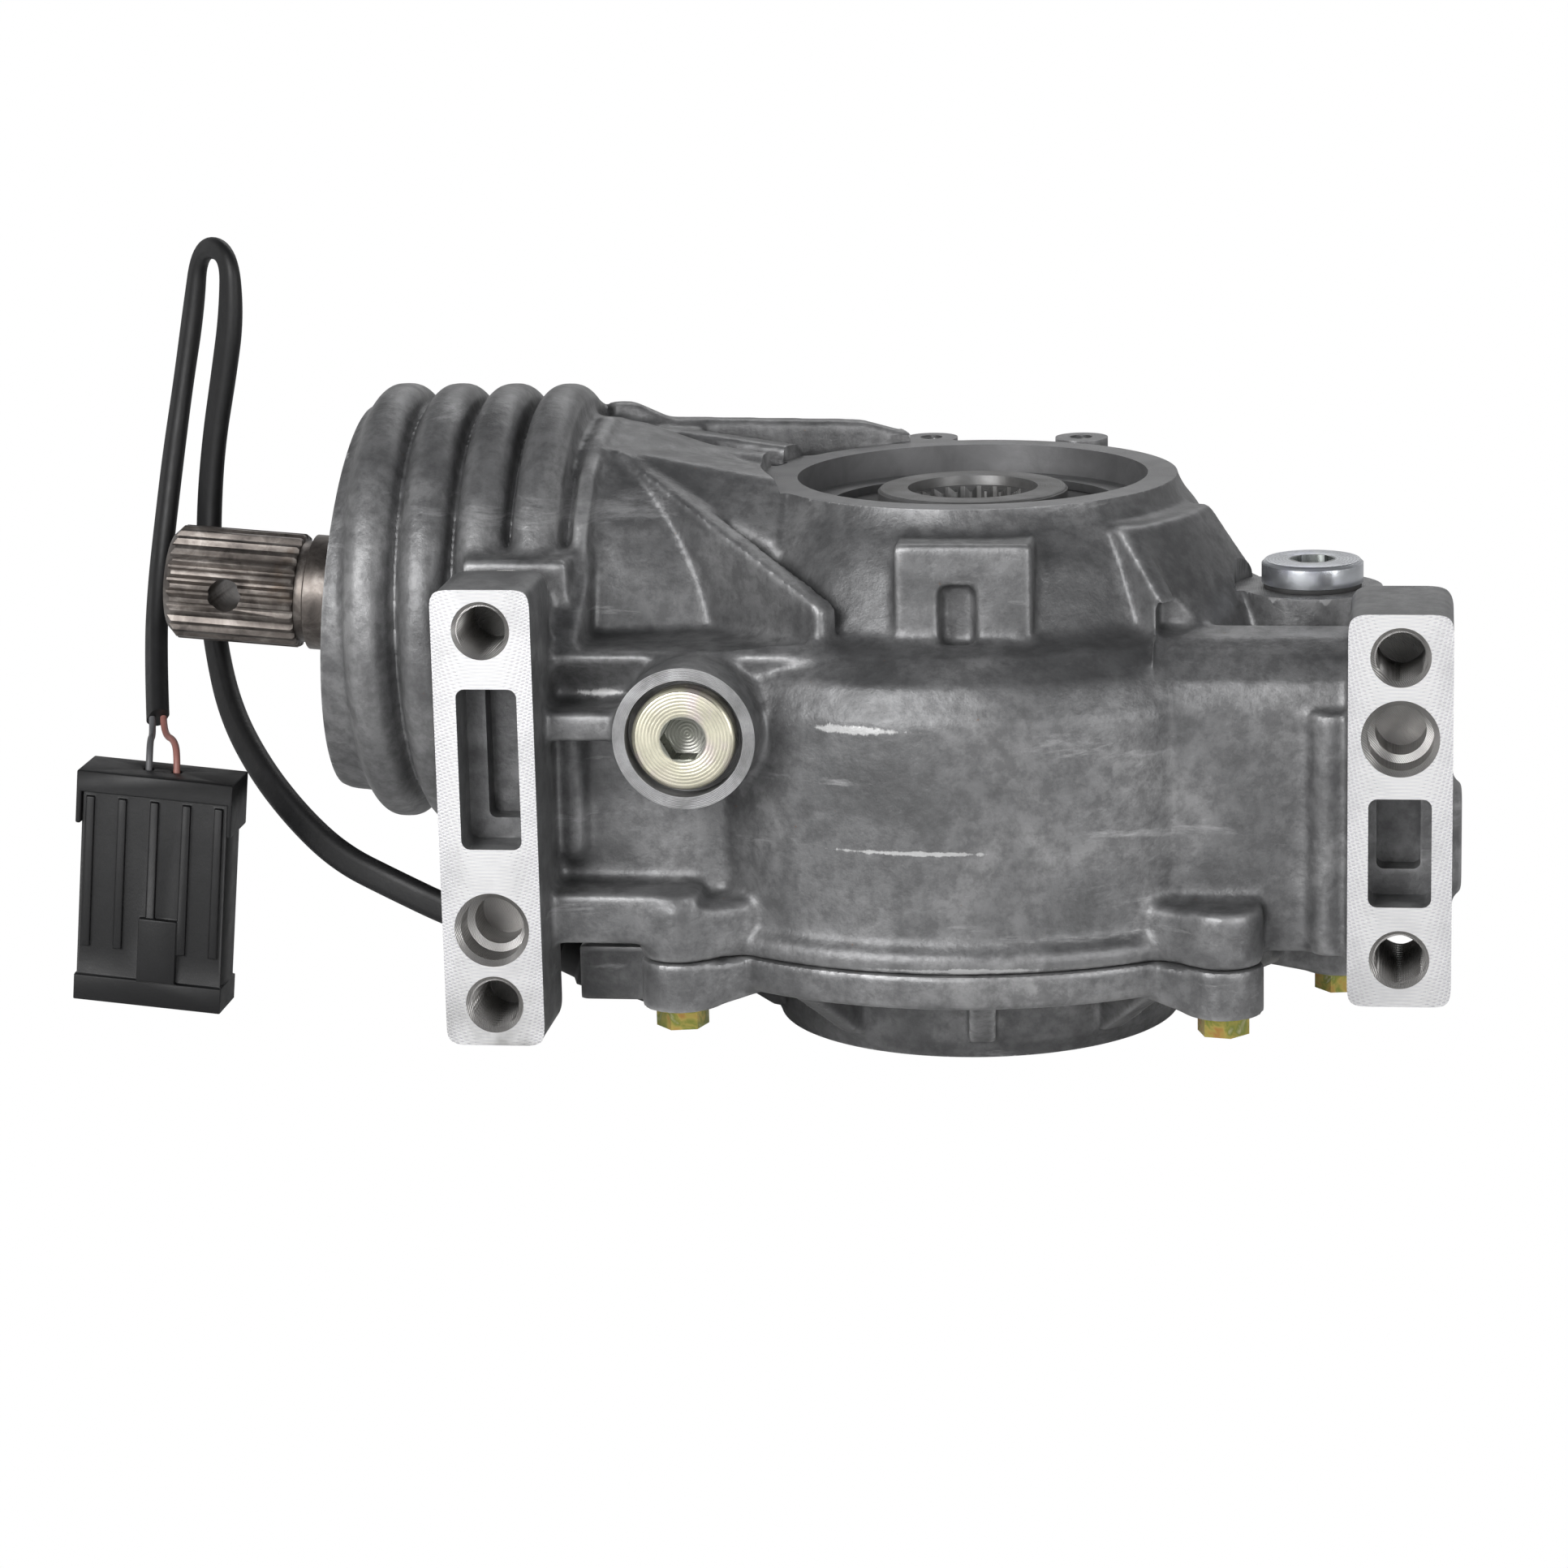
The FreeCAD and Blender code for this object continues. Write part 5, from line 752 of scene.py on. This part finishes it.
def snout_casting():
    """The round end of the snout, with its milled face and the bore for bearing, ring and seal."""
    fills = [lathe("snout_core", [
        (0, 30), (25, 30), (32.5, 80), (32.5, 141), (43.6, 141), (43.6, 146), (0, 146)], PINION)]
    tools = [
        lathe("snout_plane", [(0, SNOUT_FRONT), (52, SNOUT_FRONT), (52, 160), (0, 160)], PINION),
        lathe("snout_bore", [
            (0, 20), (22.8, 20), (22.8, 75), (27.5, 75), (27.5, 79), (31.02, 79), (31.02, 103.1),
            (32.6, 103.1), (32.6, 105.2), (31.02, 105.2), (31.02, 140.9), (32.6, 142.5), (32.6, 150),
            (0, 150)], PINION),
    ]
    return fills, tools


def case_casting():
    """The case: a smoothed skin over its solid and fills, in which faces and holes are cut afterwards."""
    land_foot = JOINT_HEIGHT + 0.6
    fills = [copy_of("main_case"), *snout_ribs(), *saddle_fills(), *bolt_lands(land_foot, 40.5, land_foot)]
    tools = []
    for more_fills, more_tools in (*map(pad_casting, PADS), plug_casting(), rim_casting(), snout_casting()):
        fills += more_fills
        tools += more_tools
    tools.append(lathe("hollow", HOLLOW))
    case = cast_skin(joined("case_casting", fills), CASE_VOXEL, rounds=4)
    cut_by(case, [web_round(), fin_hollow()])
    case = cast_skin(joined("case_casting", [case, fin()]), CASE_VOXEL, rounds=11)
    return cut_by(case, tools)


def cover_casting():
    """The cover, made the same way as the case."""
    fills = [
        copy_of("output_cover"),
        lathe("ring_core", [(0, -3), (46, -3), (46, 1), (45, 4), (45, 17), (60, 22.5), (60, 31), (0, 31)]),
        lathe("flange_core", [(0, 20.4), (79.2, 20.4), (80.4, 21.6), (80.4, 27.8), (0, 27.8)]),
        *bolt_lands(17.7, 27.8, 20.4),
    ]
    tools = [
        lathe("ring_plane", [(0, -8), (60, -8), (60, 0), (0, 0)]),
        lathe("cover_bore", [
            (0, -6), (39.6, -6), (39.6, 9.3), (33.02, 9.3), (33.02, 16.1), (31, 16.1), (31, 17.8),
            (36.02, 17.8), (36.02, 26.8), (54.02, 26.8), (54.02, 34), (0, 34)]),
    ]
    return cut_by(cast_skin(joined("cover_casting", fills), COVER_VOXEL, rounds=6), tools)


def machined_faces(obj, tests):
    """Gives each face that passes a test that test's slot; the last one wins."""
    centres, normals = face_table(obj)
    slots = np.zeros(len(obj.data.polygons), np.int32)
    for slot, test in tests:
        slots[test(centres, normals)] = slot
    obj.data.polygons.foreach_set("material_index", slots)


def round_axis(centres, x, z):
    """Distance from an axis that runs along Y."""
    return np.hypot(centres[:, 0] - x, centres[:, 2] - z)


def paint_case(case):
    """Slots 1 and 2 are the pads' faces, 3 their holes, 4 rim and snout front, 5 the plug bosses' faces."""
    dress(case, cast, left_milled, right_milled, bore_metal, rim_metal, fill_metal)
    along = np.array((-math.cos(TILT), 0, math.sin(TILT)))

    def pad_face(centres, normals):
        return (np.abs(centres[:, 1] - PAD_FACE) < FLUSH) & (normals[:, 1] < -SQUARE)

    def left_pad(centres, normals):
        return (centres[:, 0] < 0) & pad_face(centres, normals)

    def right_pad(centres, normals):
        return (centres[:, 0] > 0) & pad_face(centres, normals)

    def bores(centres, normals):
        found = np.zeros(len(centres), bool)
        deep = (centres[:, 1] > PAD_FACE + FLUSH) & (centres[:, 1] < PAD_FACE + HOLE_DEPTH)
        for pad in PADS:
            holes = [(height, THREAD_REACH) for height, _ in pad["threads"]]
            for height, reach in (*holes, (pad["dowel"], DOWEL_REACH)):
                found |= (round_axis(centres, pad["column"], height) < reach) & deep
        return found

    def rim_and_front(centres, normals):
        radius = np.hypot(centres[:, 0], centres[:, 1])
        top = (np.abs(centres[:, 2] - RIM_HEIGHT) < FLUSH) & (normals[:, 2] > SQUARE)
        recess = (radius < RECESS_REACH) & (centres[:, 2] > RECESS_FLOOR)
        reach = (centres - np.array((0, 0, APEX))) @ along
        return top | recess | ((reach > SNOUT_FRONT - FLUSH) & (normals @ along > SQUARE))

    def fill_boss(centres, normals):
        near = round_axis(centres, *FILL_AXIS) < FILL_REACH
        return near & (centres[:, 1] < FILL_FACE + 6) & (centres[:, 1] > FILL_FACE - 1)

    def drain_boss(centres, normals):
        away = np.hypot(centres[:, 0] - DRAIN_AXIS[0], centres[:, 1] - DRAIN_AXIS[1])
        return (away < DRAIN_REACH) & (centres[:, 2] > DRAIN_FACE - FLUSH)

    machined_faces(case, (
        (4, rim_and_front), (1, left_pad), (2, right_pad), (3, bores), (5, fill_boss), (5, drain_boss)))
    sharpen(case, SKIN_SHARP)


def paint_cover(cover):
    """Slot 1 is for what is machined on the underside."""
    dress(cover, cast, rim_metal)

    def base_ring(centres, normals):
        radius = np.hypot(centres[:, 0], centres[:, 1])
        return (radius < COVER_REACH) & (normals[:, 2] < -SQUARE) & (centres[:, 2] < COVER_DEPTH)

    machined_faces(cover, ((1, base_ring),))
    sharpen(cover, SKIN_SHARP)


def curve_tube(name, route, radius, material, radii=None, flat=0.0):
    data = bpy.data.curves.new(name, "CURVE")
    data.dimensions = "3D"
    data.bevel_depth = radius * MM
    data.extrude = flat * MM
    data.bevel_resolution = 6
    data.resolution_u = 10
    data.use_fill_caps = True
    spline = data.splines.new("NURBS")
    spline.points.add(len(route) - 1)
    for index, point in enumerate(route):
        spline.points[index].co = (*(c * MM for c in point), 1)
        spline.points[index].radius = radii[index] if radii else 1.0
    spline.order_u = 3
    spline.use_endpoint_u = True
    data.materials.append(material)
    obj = bpy.data.objects.new(name, data)
    scene.collection.objects.link(obj)
    return obj


def finished_node(name, material, bevel=0.0):
    """Gives a CAD node its material, and softens its edges."""
    obj = nodes[name]
    dress(obj, material)
    weld = obj.modifiers.new("weld", "WELD")
    weld.merge_threshold = 1e-6
    if bevel:
        edge = obj.modifiers.new("edge", "BEVEL")
        edge.width = bevel * MM
        edge.segments = 2
        edge.limit_method = "ANGLE"
        edge.angle_limit = SOLID_SHARP
    sharpen(obj, SOLID_SHARP)


# Materials

cast = cast_look()
left_milled = machined_look("left_milled", PADS[0]["column"])
right_milled = machined_look("right_milled", PADS[1]["column"])
bore_metal = turned_look("bore_metal", (0.42, 0.41, 0.4), (0, 0, 0), "Y", roughness=0.36)
rim_metal = turned_look("rim_metal", (0.22, 0.22, 0.224), (0, 0, 0), "Z", metallic=0.7, roughness=0.42)
fill_metal = turned_look("fill_metal", (0.36, 0.36, 0.365), (FILL_AXIS[0] * MM, 0, FILL_AXIS[1] * MM), "Y",
                         metallic=0.6, roughness=0.5, second=(0.16, 0.16, 0.16))
zinc_fill = turned_look("zinc_fill", (0.72, 0.69, 0.55), (FILL_AXIS[0] * MM, 0, FILL_AXIS[1] * MM), "Y",
                        pitch=420, tint=(0.66, 0.56, 0.58), socket=PLUG_SOCKET)
zinc_drain = turned_look("zinc_drain", (0.62, 0.64, 0.67), (DRAIN_AXIS[0] * MM, DRAIN_AXIS[1] * MM, 0), "Z",
                         pitch=420, tint=(0.55, 0.56, 0.64), socket=PLUG_SOCKET)
hub_steel = turned_look("hub_steel", (0.2, 0.2, 0.2), (0, 0, 0), "Z", metallic=0.6, roughness=0.46,
                        second=(0.11, 0.108, 0.105))
gear_steel = turned_look("gear_steel", (0.45, 0.45, 0.46), (0, 0, 0), "Z")
clutch_steel = turned_look("clutch_steel", (0.36, 0.36, 0.37), (0, 0, 0), "Z")
bearing_steel = turned_look("bearing_steel", (0.66, 0.66, 0.68), (0, 0, 0), "Z", roughness=0.2)
bronze = turned_look("bronze", (0.62, 0.44, 0.2), (0, 0, 0), "Z")
shaft_steel = shaft_look()
yellow_zinc = bolt_look()
winding = winding_look()
rubber = rubber_look()
sleeve_black = plastic_look("sleeve_black", (0.004, 0.004, 0.0045), 0.5, 900, 0.00004)
connector_black = plastic_look("connector_black", (0.003, 0.003, 0.0035), 0.5)
grey_wire_look = plastic_look("grey_wire", (0.1, 0.1, 0.105), 0.45)
pink_wire_look = plastic_look("pink_wire", (0.3, 0.13, 0.11), 0.45)

# The castings

case = case_casting()
paint_case(case)
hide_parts("main_case")
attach(case, "case_body")

cover = cover_casting()
paint_cover(cover)
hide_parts("output_cover")
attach(cover, "case_body")

# Nodes that keep their solids

finished_node("cover_bolts", yellow_zinc, 0.35)
finished_node("fill_plug", zinc_fill, 0.25)
finished_node("drain_plug", zinc_drain, 0.25)
finished_node("pinion_shaft", shaft_steel, 0.12)
finished_node("upper_output_hub", hub_steel, 0.15)
finished_node("lower_output_hub", hub_steel, 0.15)
for node in ("fill_plug_seal", "drain_plug_seal", "cover_seal_ring", "pinion_seal", "upper_output_seal",
             "lower_output_seal", "harness_grommet"):
    finished_node(node, rubber, 0.15)
finished_node("ring_gear", gear_steel)
for node in ("ring_gear_bolts", "clutch_housing", "clutch_cap", "clutch_cap_ring", "roll_cage",
             "armature_plate", "coil_housing", "pinion_retaining_ring", "pinion_shaft_ring", "cover_dowels"):
    finished_node(node, clutch_steel)
for node in ("pinion_bearing_outer_race", "pinion_bearing_inner_race", "pinion_bearing_balls",
             "upper_bearing_outer_race", "upper_bearing_inner_race", "upper_bearing_balls",
             "lower_bearing_outer_race", "lower_bearing_inner_race", "lower_bearing_balls", "rollers"):
    finished_node(node, bearing_steel)
for node in ("upper_thrust_washer", "lower_thrust_washer", "thrust_button", "connector_terminals"):
    finished_node(node, bronze)
finished_node("coil", winding)
finished_node("connector_body", connector_black, 0.35)
finished_node("connector_lock", connector_black, 0.4)

# The lead

pinches = [SLEEVE_PINCH.get(index, 1.0) for index in range(len(SLEEVE_ROUTE))]
sleeve = curve_tube("sleeve", SLEEVE_ROUTE, SLEEVE_RADIUS - SLEEVE_FLAT, sleeve_black, pinches, SLEEVE_FLAT)
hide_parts("harness_sleeve")
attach(sleeve, "case_body")
grey_wire = curve_tube("grey_wire", GREY_WIRE, WIRE_RADIUS, grey_wire_look)
pink_wire = curve_tube("pink_wire", PINK_WIRE, WIRE_RADIUS, pink_wire_look)
for wire in (grey_wire, pink_wire):
    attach(wire, "case_body")
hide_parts("harness_wires")


# Floor, light and camera

def make_floor():
    size, drop = 3000, 0.3
    corners = [(x, y, -drop) for x, y in ((-size, -size), (size, -size), (size, size), (-size, size))]
    floor = mesh_object("floor", corners, [(0, 1, 2, 3)])
    look = Look("floor", (0.9, 0.9, 0.9), 0.0, 0.9)
    seen = look.node("ShaderNodeEmission", {"Strength": 1.0})
    rays = look.node("ShaderNodeLightPath").outputs
    straight = look.calc(rays["Is Camera Ray"], rays["Is Transmission Ray"], "MAXIMUM")
    mix = look.node("ShaderNodeMixShader", {0: straight, 1: look.shader.outputs[0], 2: seen.outputs[0]})
    look.tree.links.new(mix.outputs[0], look.tree.nodes["Material Output"].inputs["Surface"])
    floor.data.materials.append(look.material)


def area_light(name, place, aim, size, power):
    data = bpy.data.lights.new(name, "AREA")
    data.shape = "RECTANGLE"
    data.size, data.size_y = size
    data.energy = power
    obj = bpy.data.objects.new(name, data)
    scene.collection.objects.link(obj)
    obj.location = place
    obj.rotation_mode = "QUATERNION"
    obj.rotation_quaternion = (Vector(aim) - Vector(place)).to_track_quat("-Z", "Y")


def make_world():
    world = bpy.data.worlds.new("studio")
    scene.world = world
    world.use_nodes = True
    tree = world.node_tree
    tree.nodes.clear()
    output = tree.nodes.new("ShaderNodeOutputWorld")
    seen, lit = tree.nodes.new("ShaderNodeBackground"), tree.nodes.new("ShaderNodeBackground")
    seen.inputs["Color"].default_value = (1, 1, 1, 1)
    seen.inputs["Strength"].default_value = 1.0
    lit.inputs["Strength"].default_value = 0.62
    direction = tree.nodes.new("ShaderNodeTexCoord")
    height = tree.nodes.new("ShaderNodeSeparateXYZ")
    shade = tree.nodes.new("ShaderNodeValToRGB")
    level, above = shade.color_ramp.elements
    level.position, level.color = 0.12, (1, 1, 1, 1)
    above.position, above.color = 0.7, (0.16, 0.165, 0.175, 1)
    tree.links.new(direction.outputs["Generated"], height.inputs[0])
    tree.links.new(height.outputs["Z"], shade.inputs["Fac"])
    tree.links.new(shade.outputs["Color"], lit.inputs["Color"])
    rays = tree.nodes.new("ShaderNodeLightPath")
    mix = tree.nodes.new("ShaderNodeMixShader")
    tree.links.new(rays.outputs["Is Camera Ray"], mix.inputs[0])
    tree.links.new(lit.outputs[0], mix.inputs[1])
    tree.links.new(seen.outputs[0], mix.inputs[2])
    tree.links.new(mix.outputs[0], output.inputs[0])


def make_camera():
    data = bpy.data.cameras.new("camera")
    data.sensor_width = SENSOR
    data.lens = FOCAL_PX / PICTURE * SENSOR
    data.clip_start, data.clip_end = 0.01, 50
    camera = bpy.data.objects.new("camera", data)
    scene.collection.objects.link(camera)
    back = Vector((math.sin(AZIMUTH) * math.cos(ELEVATION), -math.cos(AZIMUTH) * math.cos(ELEVATION),
                   math.sin(ELEVATION)))
    level = (-back).cross(Vector((0, 0, 1))).normalized()
    upright = level.cross(-back)
    right = level * math.cos(ROLL) - upright * math.sin(ROLL)
    up = level * math.sin(ROLL) + upright * math.cos(ROLL)
    across = (AIM_PX[0] - PICTURE / 2) / FOCAL_PX
    above = -(AIM_PX[1] - PICTURE / 2) / FOCAL_PX
    ray = (right * across + up * above - back).normalized()
    place = AIM - ray * DISTANCE
    camera.matrix_world = Matrix((
        (right.x, up.x, back.x, place.x), (right.y, up.y, back.y, place.y), (right.z, up.z, back.z, place.z),
        (0, 0, 0, 1)))
    scene.camera = camera


make_floor()
make_world()
make_camera()
for light, place, size, power in (("key", (-0.55, -1.1, 0.55), (0.7, 0.7), 13),
                                  ("fill", (0.9, -0.9, 0.25), (0.6, 0.6), 5),
                                  ("back", (0.1, 0.9, 0.9), (1.0, 0.3), 3)):
    area_light(light, place, (0, 0, 0.06), size, power)
